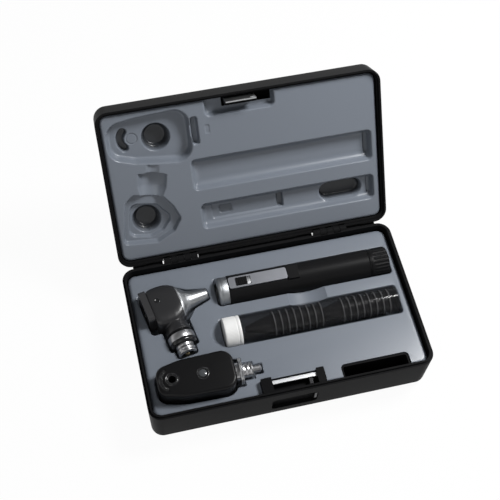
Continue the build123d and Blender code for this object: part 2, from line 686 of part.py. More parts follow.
def oph_lid_pockets(grow, mouth):
    """Pockets of the lid liner over the ophthalmoscope, and the dimple over the tip of its plug."""
    with BuildPart() as tools:
        add(pool(cornered_plan(OPH_LID_CORNERS), grow, mouth, 60.3, LID_TAPER, 2.5))
        add(well(slot_plan(-110.0, -46.9, 20.5, 8.0, 90), grow, 66.0, mouth))
        add(well(disc_plan(-99.0, -48.5, 5.3), grow, 61.3, mouth))
        add(cup(-78.1, -46.5, 12.9, grow, mouth))
        add(well(oph_lid_neck(), grow, 57.5, mouth))
        add(well(rounded_plan(-33.6, -29.2, -49.0, -40.5, 1.5), grow, LID_SURFACE + 2.5, mouth))
    return tools.part


def flared_mouth(plan):
    """Sloping lip round the mouth of a lid recess."""
    with BuildPart() as tool:
        with BuildSketch(Plane.XY.offset(LID_SURFACE - FLARE_OVERRUN)):
            add(plan)
            offset(amount=LIP_FLARE + FLARE_OVERRUN, kind=Kind.ARC)
        extrude(amount=LIP_FLARE + 2 * FLARE_OVERRUN, taper=45)
    return tool.part


def latch_recess(grow, z0, z1):
    """Recess over the latch, open to the front of the lid."""
    return well(rounded_plan(-32.4, 31.2, FRONT - 10, -57.0, 5), grow, z1, z0)


with BuildPart() as lid_liner:
    add(folded_sheet(LID_SURFACE, 1))
    add(lid_pockets(SHEET, LID_SURFACE + SHEET / 2))
    add(oph_lid_pockets(SHEET, LID_SURFACE + SHEET / 2))
    add(inset_block(LINER_INSET, LID_SURFACE + SHEET / 2, DEEPEST)
        & latch_recess(SHEET, LID_SURFACE + SHEET / 2, LID_SURFACE + LID_LATCH_DEPTH))
    add(lid_pockets(0, LID_SURFACE - SHEET), mode=Mode.SUBTRACT)
    add(latch_recess(0, LID_SURFACE - SHEET, LID_SURFACE + LID_LATCH_DEPTH), mode=Mode.SUBTRACT)
    add(box_between(-CATCH_X - WINDOW_GAP, CATCH_X + WINDOW_GAP, CATCH_FRONT_Y - WINDOW_GAP / 2,
                    CATCH_BACK_Y + WINDOW_GAP / 2, LID_SURFACE, LID_TOP), mode=Mode.SUBTRACT)
    for index in range(len(mouths(lid_liner.part, LID_SURFACE))):
        fillet(mouths(lid_liner.part, LID_SURFACE)[index].edges(), LIP_R)
    add(oph_lid_pockets(0, LID_SURFACE - SHEET), mode=Mode.SUBTRACT)
    add(flared_mouth(cornered_plan(OPH_LID_CORNERS)), mode=Mode.SUBTRACT)
    add(flared_mouth(oph_lid_neck()), mode=Mode.SUBTRACT)

save(opened(lid_liner.part), "lid_liner")

# ================================================================ latch
SEAT = 0.3                              # seated piece to its seat
BLOCK_Z1 = 48.5                         # top of the housing's end blocks
LEFT_BLOCK = (-28.3, -18.5)
RIGHT_BLOCK = (21.8, 29.0)
HOUSING_PLATE = (36.0, 38.0)
HOUSING_FRONT = FRONT + RIM_WALL + SEAT
HOUSING_BACK = LATCH_CUT_Y - 0.3
LEG_W = 5.0
LEG_Y0, LEG_Y1 = -66.0, -59.0
BAR_X0, BAR_X1 = -20.5, 27.5            # slider bar with the latch open
BAR_Y0, BAR_Y1 = -64.0, -60.0
BAR_Z0, BAR_Z1 = 43.2, 46.2
BAR_GAP = 0.1                           # slider in the slots of the housing
LUG_X0 = CATCH_X + 0.6                  # left side of the lug with the latch open
LUG_W = 3.0
LUG_Y0 = -69.6
SLIDE_T = 1.6                           # thickness of the slide under the bright bar
LUG_GAP = 0.4                           # lug to the notch of the catch
WEB_X0, WEB_X1 = 5.0, TAB_X1
WEB_Y0, WEB_Y1 = -62.6, -61.0
TAB_BACK = FRONT + RECESS_DEPTH - SEAT  # face of the tab next to the recess floor
TAB_FRONT = -73.8
TAB_Z0, TAB_Z1 = 20.0, 31.0
CATCH_FACE_Y = -68.0                    # between catch block and catch plate
CATCH_Z0 = 41.5
CATCH_PLATE_Z1 = 55.0

with BuildPart() as latch_housing:
    for x0, x1 in (LEFT_BLOCK, RIGHT_BLOCK):
        add(box_between(x0, x1, HOUSING_FRONT, HOUSING_BACK, HOUSING_PLATE[1], BLOCK_Z1))
    fillet(latch_housing.edges().filter_by(Axis.Z), 0.8)
    add(box_between(LEFT_BLOCK[0] + 1, RIGHT_BLOCK[1] - 1, CATCH_FACE_Y, HOUSING_BACK - 0.5,
                    HOUSING_PLATE[0], HOUSING_PLATE[1] + 0.5))
    for x0 in (LEFT_BLOCK[0] + 1, RIGHT_BLOCK[1] - 1 - LEG_W):
        add(box_between(x0, x0 + LEG_W, LEG_Y0, LEG_Y1, FLOOR + SEAT, HOUSING_PLATE[1]))
    add(box_between(BAR_X0 - TRAVEL - 0.5, BAR_X1 + 0.5, BAR_Y0 - BAR_GAP, BAR_Y1 + BAR_GAP,
                    BAR_Z0 - BAR_GAP, BAR_Z1 + BAR_GAP), mode=Mode.SUBTRACT)
    add(box_between(WEB_X0 - TRAVEL - SLOT_GAP, WEB_X1 + SLOT_GAP, WEB_Y0 - SLOT_GAP, WEB_Y1 + SLOT_GAP,
                    HOUSING_PLATE[0] - 1, HOUSING_PLATE[1] + 1), mode=Mode.SUBTRACT)

save(latch_housing.part, "latch_housing")

with BuildPart() as latch_bar:
    add(box_between(BAR_X0, BAR_X1, BAR_Y0, BAR_Y1, BAR_Z0 + SLIDE_T, BAR_Z1))
    fillet(latch_bar.edges().filter_by(Axis.X), 0.5)

save(latch_bar.part, "latch_bar")

with BuildPart() as latch_slider:
    add(box_between(BAR_X0, BAR_X1, BAR_Y0, BAR_Y1, BAR_Z0, BAR_Z0 + SLIDE_T))
    add(box_between(LUG_X0, LUG_X0 + LUG_W, LUG_Y0, BAR_Y1 - 1, BAR_Z0, BAR_Z0 + SLIDE_T))
    add(box_between(WEB_X0, WEB_X1, WEB_Y0, WEB_Y1, NECK_Z - NECK_H / 2, BAR_Z0 + SLIDE_T / 2))
    add(box_between(TAB_X1 - TAB_W, TAB_X1, TAB_BACK - 0.5, WEB_Y1, NECK_Z - NECK_H / 2, NECK_Z + NECK_H / 2))
    add(box_between(TAB_X1 - TAB_W, TAB_X1, TAB_FRONT, TAB_BACK, TAB_Z0, TAB_Z1))

save(latch_slider.part, "latch_slider")

with BuildPart() as catch_block:
    add(box_between(-CATCH_X, CATCH_X, CATCH_FACE_Y, CATCH_BACK_Y, BASE_H - SEAT, LID_CEILING - SEAT))

save(opened(catch_block.part), "catch_block")

with BuildPart() as catch_plate:
    add(box_between(-CATCH_X, CATCH_X, CATCH_FRONT_Y, CATCH_FACE_Y, CATCH_Z0, CATCH_PLATE_Z1))
    add(box_between(LUG_X0 - TRAVEL - LUG_GAP, CATCH_X + 1, CATCH_FRONT_Y - 1, CATCH_FACE_Y + 1,
                    BAR_Z0 - LUG_GAP, BAR_Z0 + SLIDE_T + LUG_GAP), mode=Mode.SUBTRACT)

save(opened(catch_plate.part), "catch_plate")

# ================================================================ battery handle
BORE_R = 13.2                   # inside of the handle tube
BODY_X0, BODY_X1 = -35.5, 98.0
RING_R = 13.6
RING_GROOVE_X = -42.4
RING_GROOVE = 0.6
SPIGOT_GAP = 0.1
RING_BORE_R = 9.0
INSULATOR_X = -26.0
INSULATOR_T = 4.0
NECK_CONTACT_R = 2.0
BATTERY_R = 12.9
BATTERY_X = (-12.0, 37.5, 87.0)
BATTERY_NUB_R, BATTERY_NUB_H = 4.0, 1.5
CAP_FACE_X = 98.3
CAP_SPIGOT_X = 90.0
CAP_BORE_R = 11.0
CAP_BORE_X = 107.0
FLUTES = 20
FLUTE_R = 1.1
PAD_X0, PAD_X1 = 19.8, 30.5
PAD_HALF_W = 6.7
PAD_TOP = 14.6
PLATE_X0, PLATE_X1 = -35.2, 19.3
PLATE_HALF_W = 5.75
PLATE_TOP = 14.8
SLOT_X0, SLOT_X1 = -28.5, -14.5
SLOT_HALF_W = 4.0
CONTACT_T = 0.3
BUTTON_L, BUTTON_HALF_W = 10.0, 3.85
BUTTON_TOP = 16.0
BUTTON_RIBS = 4
HANDLE = axis_x(HANDLE_Y, HANDLE_Z)


def on_handle(x0, x1, half_w, z0, z1):
    """Box on top of the handle; heights are measured from the handle's axis."""
    return box_between(x0, x1, HANDLE_Y - half_w, HANDLE_Y + half_w, HANDLE_Z + z0, HANDLE_Z + z1)


def handle_bar(radius, start, end):
    """Cylinder on the handle's axis."""
    return round_bar(along_x(HANDLE_Y, HANDLE_Z), radius, start, end)


with BuildPart() as handle_body:
    add(handle_bar(HANDLE_R, BODY_X0, BODY_X1))
    add(on_handle(PAD_X0, PAD_X1, PAD_HALF_W, HANDLE_R - 3, PAD_TOP))
    add(handle_bar(BORE_R, BODY_X0 - 1, BODY_X1 + 1), mode=Mode.SUBTRACT)

save(handle_body.part, "handle_body")

with BuildPart() as neck_ring:
    add(turned(HANDLE, [(HANDLE_X0, 11.6), (HANDLE_X0 + 2, RING_R), (RING_GROOVE_X, RING_R),
                        (RING_GROOVE_X, RING_R - RING_GROOVE), (RING_GROOVE_X + RING_GROOVE, RING_R - RING_GROOVE),
                        (RING_GROOVE_X + RING_GROOVE, RING_R), (BODY_X0 - 0.3, RING_R),
                        (BODY_X0 - 0.3, BORE_R - SPIGOT_GAP), (INSULATOR_X, BORE_R - SPIGOT_GAP)]))
    add(handle_bar(RING_BORE_R, HANDLE_X0 - 1, INSULATOR_X + 1), mode=Mode.SUBTRACT)

save(neck_ring.part, "neck_ring")

with BuildPart() as neck_insulator:
    add(handle_bar(BORE_R - SPIGOT_GAP, INSULATOR_X, INSULATOR_X + INSULATOR_T))
    add(handle_bar(NECK_CONTACT_R, INSULATOR_X - 1, INSULATOR_X + INSULATOR_T + 1), mode=Mode.SUBTRACT)

save(neck_insulator.part, "neck_insulator")

with BuildPart() as neck_contact:
    add(turned(HANDLE, [(-33.0, 1.2), (-32.0, NECK_CONTACT_R - PIN_GAP), (INSULATOR_X + 8, NECK_CONTACT_R - PIN_GAP),
                        (INSULATOR_X + 8, 6.0), (BATTERY_X[0] - BATTERY_NUB_H - 0.3, 6.0)]))

save(neck_contact.part, "neck_contact")

with BuildPart() as switch_plate:
    add(on_handle(PLATE_X0, PLATE_X1, PLATE_HALF_W, HANDLE_R - 2, PLATE_TOP))
    fillet(switch_plate.edges().filter_by(Axis.Z), 2.0)
    add(handle_bar(HANDLE_R, PLATE_X0 - 1, PLATE_X1 + 1), mode=Mode.SUBTRACT)
    add(on_handle(SLOT_X0, SLOT_X1, SLOT_HALF_W, 0, PLATE_TOP + 1), mode=Mode.SUBTRACT)

save(switch_plate.part, "switch_plate")

with BuildPart() as switch_contact:
    add(handle_bar(HANDLE_R + CONTACT_T, SLOT_X0 + 0.2, SLOT_X1 - 0.2))
    add(handle_bar(HANDLE_R, SLOT_X0, SLOT_X1), mode=Mode.SUBTRACT)
    add(on_handle(SLOT_X0, SLOT_X1, SLOT_HALF_W - 0.2, 0, PLATE_TOP), mode=Mode.INTERSECT)

save(switch_contact.part, "switch_contact")

with BuildPart() as switch_button:
    add(on_handle(SLOT_X0 + 0.2, SLOT_X0 + 0.2 + BUTTON_L, BUTTON_HALF_W, HANDLE_R + CONTACT_T + 0.1, BUTTON_TOP))
    for index in range(BUTTON_RIBS):
        rib_x = SLOT_X0 + 0.2 + (index + 1) * BUTTON_L / (BUTTON_RIBS + 1)
        add(on_handle(rib_x - 0.4, rib_x + 0.4, BUTTON_HALF_W + 1, BUTTON_TOP - 0.5, BUTTON_TOP + 1),
            mode=Mode.SUBTRACT)

save(switch_button.part, "switch_button")

for number in (1, 2):
    x0, x1 = BATTERY_X[number - 1:number + 1]
    with BuildPart() as battery:
        add(turned(HANDLE, [(x0 - BATTERY_NUB_H, BATTERY_NUB_R), (x0, BATTERY_NUB_R), (x0, BATTERY_R),
                            (x1 - BATTERY_NUB_H - 0.3, BATTERY_R)]))
    save(battery.part, f"battery_{number}")

with BuildPart() as battery_spring:
    add(turned(HANDLE, [(BATTERY_X[2] - BATTERY_NUB_H, 6.0), (CAP_BORE_X - SEAT, 10.0)]))
    add(turned(HANDLE, [(BATTERY_X[2], 5.0), (CAP_BORE_X + 1, 9.2)]), mode=Mode.SUBTRACT)

save(battery_spring.part, "battery_spring")

with BuildPart() as end_cap:
    add(turned(HANDLE, [(CAP_SPIGOT_X, BORE_R - SPIGOT_GAP), (CAP_FACE_X, BORE_R - SPIGOT_GAP), (CAP_FACE_X, 13.9),
                        (100.0, 13.9), (115.5, 12.8), (HANDLE_X1, 11.0)]))
    add(handle_bar(CAP_BORE_R, CAP_SPIGOT_X - 1, CAP_BORE_X), mode=Mode.SUBTRACT)
    with BuildSketch(along_x(HANDLE_Y, HANDLE_Z, 101.0)):
        with PolarLocations(14.2, FLUTES):
            Circle(FLUTE_R)
    extrude(amount=HANDLE_X1 - 100.0, mode=Mode.SUBTRACT)

save(end_cap.part, "end_cap")

# ================================================================ tube of specula
TUBE_FIT = 0.05                         # cap on tube
TUBE_MOUTH_X = TUBE_X0 - CAP_L + 2.2    # open end of the tube inside the cap
CAP_WALL_X = TUBE_X0 - CAP_L
TUBE_END_R = 3.0
SPECULUM_TIP_R = 2.4
SPECULUM_L = 28.4
SPECULUM_WALL = 0.8
SPECULUM_RIM_R = 11.6
SPECULUM_RIM_T = 1.4
SPECULUM_PITCH = 8.2
STACK_1_X, STACK_1_COUNT = -9.0, 5      # tip of the first speculum, and how many are nested
STACK_2_X, STACK_2_COUNT = 55.5, 4
TUBE = axis_x(TUBE_Y, TUBE_Z)
TUBE_BAR = along_x(TUBE_Y, TUBE_Z)

with BuildPart() as specula_tube:
    add(round_bar(TUBE_BAR, TUBE_R, TUBE_MOUTH_X, TUBE_X1))
    fillet(specula_tube.faces().sort_by(Axis.X)[-1].edges(), TUBE_END_R)
    add(round_bar(TUBE_BAR, TUBE_R - TUBE_WALL, TUBE_MOUTH_X - 1, TUBE_X1 - 1.5), mode=Mode.SUBTRACT)

save(specula_tube.part, "specula_tube")

with BuildPart() as tube_cap:
    add(round_bar(TUBE_BAR, CAP_R, CAP_WALL_X, TUBE_X0))
    fillet(tube_cap.faces().sort_by(Axis.X)[0].edges(), 1.2)
    add(round_bar(TUBE_BAR, TUBE_R + TUBE_FIT, TUBE_MOUTH_X - 0.3, TUBE_X0 + 1), mode=Mode.SUBTRACT)

save(tube_cap.part, "tube_cap")


def speculum(x):
    """Ear speculum with its tip at x and its rim towards +X, open right through."""
    end = x + SPECULUM_L
    shoulder = x + 22.0
    with BuildPart() as cone:
        add(turned(TUBE, [(x, SPECULUM_TIP_R), (shoulder, 8.6), (end - SPECULUM_RIM_T, 9.3),
                          (end - SPECULUM_RIM_T, SPECULUM_RIM_R), (end, SPECULUM_RIM_R)]))
        add(turned(TUBE, [(x - 1, SPECULUM_TIP_R - 1.08), (shoulder, 8.6 - SPECULUM_WALL),
                          (end + 1, 9.4 - SPECULUM_WALL)]), mode=Mode.SUBTRACT)
    return cone.part


for name, x0, count in (
    ("specula_stack_1", STACK_1_X, STACK_1_COUNT),
    ("specula_stack_2", STACK_2_X, STACK_2_COUNT),
):
    with BuildPart() as stack:
        for index in range(count):
            add(speculum(x0 + index * SPECULUM_PITCH))
    save(stack.part, name)

# ================================================================ otoscope head
NECK_START = 14.0               # where the neck leaves the barrel, measured down the neck
NECK_END = 28.6
STEP_RING_R = 11.0
NECK_BORE_R = 5.0
BARREL_BORE_R = 11.0
FRAME_T = 6.0
FRAME_V0, FRAME_V1 = -12.0, 19.0
LENS_R = 10.6
LENS_T = 2.0
NOSE_U0 = 14.3
CONTACT_BLOCK_R = 6.0
PORT_U, PORT_V = -8.7, 4.0
PORT_R = 2.0
OTO_DOWN = Plane(origin=OTO.origin, x_dir=OTO.x_dir, z_dir=-OTO.y_dir)      # normal runs down the neck
OTO_ALONG = Plane(origin=OTO.origin, x_dir=OTO.y_dir, z_dir=OTO.x_dir)      # normal runs along the nose


def on_otoscope(u0, u1, v0, v1, w0, w1):
    """Box in the otoscope's own frame."""
    with BuildPart() as block:
        with BuildSketch(OTO.offset(w0)):
            with Locations(((u0 + u1) / 2, (v0 + v1) / 2)):
                Rectangle(u1 - u0, v1 - v0)
        extrude(amount=w1 - w0)
    return block.part


with BuildPart() as otoscope_body:
    add(turned(OTO_NOSE, [(-15, 17.5), (-11, OTO_BODY_R), (2, OTO_BODY_R), (10, 17.0), (14, 12.6)]))
    add(on_otoscope(-30, 30, -30, 30, -OTO_FLAT, OTO_FLAT), mode=Mode.INTERSECT)
    add(turned(OTO_NECK, [(NECK_START, 9.5), (18.5, 9.5), (NECK_END, 11.6)]))
    add(turned(OTO_NOSE, [(-16, BARREL_BORE_R), (6, BARREL_BORE_R), (15, 9.6)]), mode=Mode.SUBTRACT)
    add(round_bar(OTO_DOWN, NECK_BORE_R, 5, NECK_END + 1), mode=Mode.SUBTRACT)
    with BuildSketch(OTO):
        with Locations((PORT_U, PORT_V)):
            Circle(PORT_R)
    extrude(amount=OTO_BODY_R, mode=Mode.SUBTRACT)

save(otoscope_body.part, "otoscope_body")

with BuildPart() as otoscope_eyepiece:
    add(on_otoscope(OTO_BACK, OTO_BACK + FRAME_T, FRAME_V0, FRAME_V1, -OTO_FLAT, OTO_FLAT))
    fillet(otoscope_eyepiece.edges().filter_by(Axis(OTO.origin, OTO.x_dir)), 4.0)
    add(round_bar(OTO_ALONG, LENS_R - 1.2, OTO_BACK - 1, OTO_BACK + FRAME_T + 1), mode=Mode.SUBTRACT)
    add(round_bar(OTO_ALONG, LENS_R + 0.1, OTO_BACK + 1, OTO_BACK + FRAME_T + 1), mode=Mode.SUBTRACT)

save(otoscope_eyepiece.part, "otoscope_eyepiece")

with BuildPart() as otoscope_lens:
    add(round_bar(OTO_ALONG, LENS_R, OTO_BACK + 1 + SEAT, OTO_BACK + 1 + SEAT + LENS_T))

save(otoscope_lens.part, "otoscope_lens")

with BuildPart() as otoscope_nose:
    add(turned(OTO_NOSE, [(NOSE_U0, 12.2), (17, 9.6), (19, 7.6), (25, 7.0), (OTO_NOSE_END, 4.6)]))
    add(turned(OTO_NOSE, [(NOSE_U0 - 1, 9.6), (17, 6.6), (OTO_NOSE_END + 1, 3.4)]), mode=Mode.SUBTRACT)

save(otoscope_nose.part, "otoscope_nose")

with BuildPart() as otoscope_step_ring:
    add(round_bar(OTO_DOWN, STEP_RING_R, NECK_END + 0.05, OTO_RING_V0 - 0.05))
    add(round_bar(OTO_DOWN, NECK_BORE_R, NECK_END - 1, OTO_RING_V0 + 1), mode=Mode.SUBTRACT)

save(otoscope_step_ring.part, "otoscope_step_ring")

with BuildPart() as otoscope_collar:
    add(turned(OTO_NECK, [(OTO_RING_V0, OTO_RING_R - 1), (OTO_RING_V0 + 1, OTO_RING_R), (35, OTO_RING_R),
                          (35, OTO_RING_R - 0.6), (36, OTO_RING_R - 0.6), (36, OTO_RING_R),
                          (OTO_RING_V1 - 1, OTO_RING_R), (OTO_RING_V1, OTO_RING_R - 1)]))
    add(round_bar(OTO_DOWN, OTO_PLUG_R + 0.1, OTO_RING_V0 - 1, OTO_RING_V1 + 1), mode=Mode.SUBTRACT)

save(otoscope_collar.part, "otoscope_collar")

with BuildPart() as otoscope_connector:
    add(turned(OTO_NECK, [(OTO_RING_V0 + SEAT, OTO_PLUG_R), (OTO_END_V - 1, OTO_PLUG_R), (OTO_END_V, OTO_PLUG_R - 1)]))
    add(round_bar(OTO_DOWN, CONTACT_BLOCK_R + 0.1, OTO_RING_V0 - 1, OTO_END_V + 1), mode=Mode.SUBTRACT)

save(otoscope_connector.part, "otoscope_connector")

with BuildPart() as otoscope_contact_block:
    add(round_bar(OTO_DOWN, CONTACT_BLOCK_R, OTO_RING_V0 + SEAT, OTO_END_V - 2))
    add(round_bar(OTO_DOWN, 2.0, OTO_RING_V0 - 1, OTO_END_V), mode=Mode.SUBTRACT)

save(otoscope_contact_block.part, "otoscope_contact_block")

with BuildPart() as otoscope_contact_pin:
    add(turned(OTO_NECK, [(30.0, 1.95), (OTO_END_V - 1, 1.95), (OTO_END_V + 0.4, 1.0)]))

save(otoscope_contact_pin.part, "otoscope_contact_pin")

with BuildPart() as otoscope_lamp:
    add(turned(OTO_NECK, [(10.5, 1.0), (11.5, 1.9), (17, 1.9), (17, 3.6), (29.7, 3.6)]))

save(otoscope_lamp.part, "otoscope_lamp")

# ================================================================ ophthalmoscope head
OPH_EDGE_R = 2.5
SEAM_W = 6.0                            # parting line above the axis
SEAM = 0.45                             # depth and height of its groove
RIDGE_RADII = (7.6, 10.8)               # finger grooves round the sight hole
RIDGE_SPAN_X = -107.0                   # they run only on the small end
SIGHT_X = -103.7
SIGHT_R = 3.2
BEZEL_R = 4.3
WHEEL_X = -98.5
WHEEL_R = 17.2                          # its rim stands a little out of the body's two sides
RIM_NOTCHES = 40
RIM_NOTCH_R = 0.6
WHEEL_HALF_T = 2.5
WHEEL_LENSES = 8
WHEEL_LENS_R = 1.8
WHEEL_GAP = 0.4
AXLE_R = 1.5
WINDOW_X = -76.5
WINDOW_RING_R = 5.3
WINDOW_R = 4.2
WINDOW_DEPTH = 2.0
LIGHT_BORE_R = 4.5
OPH_NECK_R = 6.0
OPH_LAMP_R = 2.6
OPH_CORE_R = 3.6
OPH_HEAD = Plane(origin=(0, OPH_Y, OPH_Z), x_dir=(1, 0, 0), z_dir=(0, 0, 1))
OPH = axis_x(OPH_Y, OPH_Z)
OPH_BAR = along_x(OPH_Y, OPH_Z)


def upright(x, radius, z0, z1):
    """Upright cylinder in the ophthalmoscope head; heights are measured from its axis."""
    with BuildPart() as bar:
        with BuildSketch(OPH_HEAD.offset(z0)):
            with Locations((x, 0)):
                Circle(radius)
        extrude(amount=z1 - z0)
    return bar.part


with BuildPart() as ophthalmoscope_body:
    with BuildSketch(Plane.XY.offset(OPH_Z - OPH_HALF_T)):
        add(oph_body_plan(0))
    extrude(amount=2 * OPH_HALF_T)
    fillet(ophthalmoscope_body.faces().filter_by(Axis.Z).edges(), OPH_EDGE_R)
    add(upright(SIGHT_X, SIGHT_R, -OPH_HALF_T - 1, OPH_HALF_T + 1), mode=Mode.SUBTRACT)
    add(upright(SIGHT_X, BEZEL_R + 0.1, OPH_HALF_T - 1.5, OPH_HALF_T + 1), mode=Mode.SUBTRACT)
    add(upright(WHEEL_X, WHEEL_R + WHEEL_GAP, -WHEEL_HALF_T - WHEEL_GAP, WHEEL_HALF_T + WHEEL_GAP),
        mode=Mode.SUBTRACT)
    add(upright(WHEEL_X, AXLE_R, -10, 10), mode=Mode.SUBTRACT)
    with BuildSketch(Plane.XY.offset(OPH_Z + SEAM_W)):
        add(oph_body_plan(1))
        add(oph_body_plan(-SEAM), mode=Mode.SUBTRACT)
    extrude(amount=SEAM, mode=Mode.SUBTRACT)
    for radius in RIDGE_RADII:
        with BuildSketch(OPH_HEAD.offset(OPH_HALF_T - SEAM)):
            with Locations((SIGHT_X, 0)):
                Circle(radius + SEAM / 2)
                Circle(radius - SEAM / 2, mode=Mode.SUBTRACT)
            with Locations((RIDGE_SPAN_X + radius, 0)):
                Rectangle(2 * radius, 4 * radius, mode=Mode.SUBTRACT)
        extrude(amount=1, mode=Mode.SUBTRACT)
    add(upright(WINDOW_X, WINDOW_RING_R + 0.1, OPH_HALF_T - WINDOW_DEPTH, OPH_HALF_T + 1), mode=Mode.SUBTRACT)
    add(upright(WINDOW_X, WINDOW_R, -3, OPH_HALF_T), mode=Mode.SUBTRACT)
    add(round_bar(OPH_BAR, LIGHT_BORE_R, WINDOW_X - 3, OPH_X1 + 1), mode=Mode.SUBTRACT)

save(ophthalmoscope_body.part, "ophthalmoscope_body")

with BuildPart() as sight_bezel:
    add(upright(SIGHT_X, BEZEL_R, OPH_HALF_T - 1.5 + 0.05, OPH_HALF_T + 0.5))
    add(upright(SIGHT_X, SIGHT_R - 0.4, 0, OPH_HALF_T + 1), mode=Mode.SUBTRACT)

save(sight_bezel.part, "sight_bezel")

with BuildPart() as lens_wheel:
    add(upright(WHEEL_X, WHEEL_R, -WHEEL_HALF_T, WHEEL_HALF_T))
    add(upright(WHEEL_X, AXLE_R + PIN_GAP, -5, 5), mode=Mode.SUBTRACT)
    with BuildSketch(OPH_HEAD.offset(-5)):
        with Locations((WHEEL_X, 0)):
            with PolarLocations(WHEEL_X - SIGHT_X, WHEEL_LENSES):
                Circle(WHEEL_LENS_R)
            with PolarLocations(WHEEL_R, RIM_NOTCHES):
                Circle(RIM_NOTCH_R)
    extrude(amount=10, mode=Mode.SUBTRACT)

save(lens_wheel.part, "lens_wheel")

with BuildPart() as lens_wheel_axle:
    add(upright(WHEEL_X, AXLE_R, -10, 10))

save(lens_wheel_axle.part, "lens_wheel_axle")

with BuildPart() as window_ring:
    add(upright(WINDOW_X, WINDOW_RING_R, OPH_HALF_T - WINDOW_DEPTH + 0.05, OPH_HALF_T + 0.8))
    add(upright(WINDOW_X, WINDOW_R, 0, OPH_HALF_T + 1), mode=Mode.SUBTRACT)

save(window_ring.part, "window_ring")

with BuildPart() as window_glass:
    add(upright(WINDOW_X, WINDOW_R - 0.1, OPH_HALF_T - 1, OPH_HALF_T + 0.2))

save(window_glass.part, "window_glass")

with BuildPart() as light_mirror:
    with BuildSketch(Plane.XZ.offset(-OPH_Y - 2.5)):
        with BuildLine():
            Polyline((WINDOW_X - 2.6, OPH_Z - 2.5), (WINDOW_X - 2.6, OPH_Z + 2.5), (WINDOW_X + 2.4, OPH_Z - 2.5),
                     close=True)
        make_face()
    extrude(amount=5.0)

save(light_mirror.part, "light_mirror")

with BuildPart() as ophthalmoscope_flange:
    add(turned(OPH, [(OPH_FLANGE_X0, OPH_FLANGE_R - 0.6), (OPH_FLANGE_X0 + 0.6, OPH_FLANGE_R),
                     (OPH_FLANGE_X1 - 0.6, OPH_FLANGE_R), (OPH_FLANGE_X1, OPH_FLANGE_R - 0.6)]))
    add(round_bar(OPH_BAR, OPH_NECK_R + 0.05, OPH_FLANGE_X0 - 1, OPH_FLANGE_X1 + 1), mode=Mode.SUBTRACT)

save(ophthalmoscope_flange.part, "ophthalmoscope_flange")

with BuildPart() as ophthalmoscope_connector:
    add(turned(OPH, [(OPH_X1 + 0.05, OPH_NECK_R), (OPH_FLANGE_X1 + 0.05, OPH_NECK_R),
                     (OPH_FLANGE_X1 + 0.05, OPH_PLUG_R), (OPH_PLUG_X1 - 1, OPH_PLUG_R), (OPH_PLUG_X1, OPH_PLUG_R - 1)]))
    add(round_bar(OPH_BAR, OPH_CORE_R + 0.05, OPH_X1 - 1, OPH_PLUG_X1 + 1), mode=Mode.SUBTRACT)

save(ophthalmoscope_connector.part, "ophthalmoscope_connector")

with BuildPart() as ophthalmoscope_contact:
    add(turned(OPH, [(OPH_X1, OPH_CORE_R), (OPH_TIP_X1 - 1.5, OPH_CORE_R), (OPH_TIP_X1, OPH_CORE_R - 1.5)]))

save(ophthalmoscope_contact.part, "ophthalmoscope_contact")

with BuildPart() as ophthalmoscope_lamp:
    add(turned(OPH, [(-66.0, 0.8), (-64.5, OPH_LAMP_R), (-56.0, OPH_LAMP_R), (-56.0, OPH_CORE_R),
                     (OPH_X1 - 0.3, OPH_CORE_R)]))

save(ophthalmoscope_lamp.part, "ophthalmoscope_lamp")
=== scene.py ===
# %% [markdown]
# # Diagnostic carry case
#
# A black two-shell case stands open. Grey vacuum-formed liners hold a battery handle, an otoscope head,
# an ophthalmoscope head and a clear tube of ear specula. The rigid parts come from the CAD frame; this
# script gives every one of them its finish, and makes the soft-edged and turned pieces again as fine
# numpy surfaces in the same places.

# %% Frame
import json
from math import cos, pi, radians, sin

import bmesh
import bpy
import numpy as np
from mathutils import Matrix, Vector


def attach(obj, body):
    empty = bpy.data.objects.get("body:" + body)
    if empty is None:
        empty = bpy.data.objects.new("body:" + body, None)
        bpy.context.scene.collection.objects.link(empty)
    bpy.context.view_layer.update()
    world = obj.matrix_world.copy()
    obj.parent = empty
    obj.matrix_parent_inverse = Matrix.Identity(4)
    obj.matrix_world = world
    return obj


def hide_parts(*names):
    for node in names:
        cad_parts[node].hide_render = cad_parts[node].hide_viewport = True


MM = 0.001
WELD = 2e-6             # points closer than this, in metres, are one point

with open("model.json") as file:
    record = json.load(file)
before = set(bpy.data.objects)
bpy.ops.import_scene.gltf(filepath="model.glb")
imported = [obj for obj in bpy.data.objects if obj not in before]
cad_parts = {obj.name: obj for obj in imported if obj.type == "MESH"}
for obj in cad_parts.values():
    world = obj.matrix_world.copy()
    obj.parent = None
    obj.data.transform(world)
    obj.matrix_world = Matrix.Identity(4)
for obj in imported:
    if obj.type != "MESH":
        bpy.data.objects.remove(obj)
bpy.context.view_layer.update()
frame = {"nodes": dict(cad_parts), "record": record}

# %% [markdown]
# ## Camera
#
# The camera stands in front of the case, slightly to its left, and looks down at it. It is placed by its
# position and the directions it looks along and calls up; a long lens keeps the lid's edges nearly parallel.

# %% Camera
EYE = Vector((-0.14208, -0.38369, 0.87060))
AHEAD = Vector((0.142242, 0.479228, -0.866088)).normalized()
UPWARD = Vector((0.183382, 0.847079, 0.498827)).normalized()
SIDEWAYS = AHEAD.cross(UPWARD)
FOCAL_MM, SENSOR_MM = 72.94, 36.0


def new_object(name, data):
    """Adds an object to the scene."""
    thing = bpy.data.objects.new(name, data)
    bpy.context.scene.collection.objects.link(thing)
    return thing


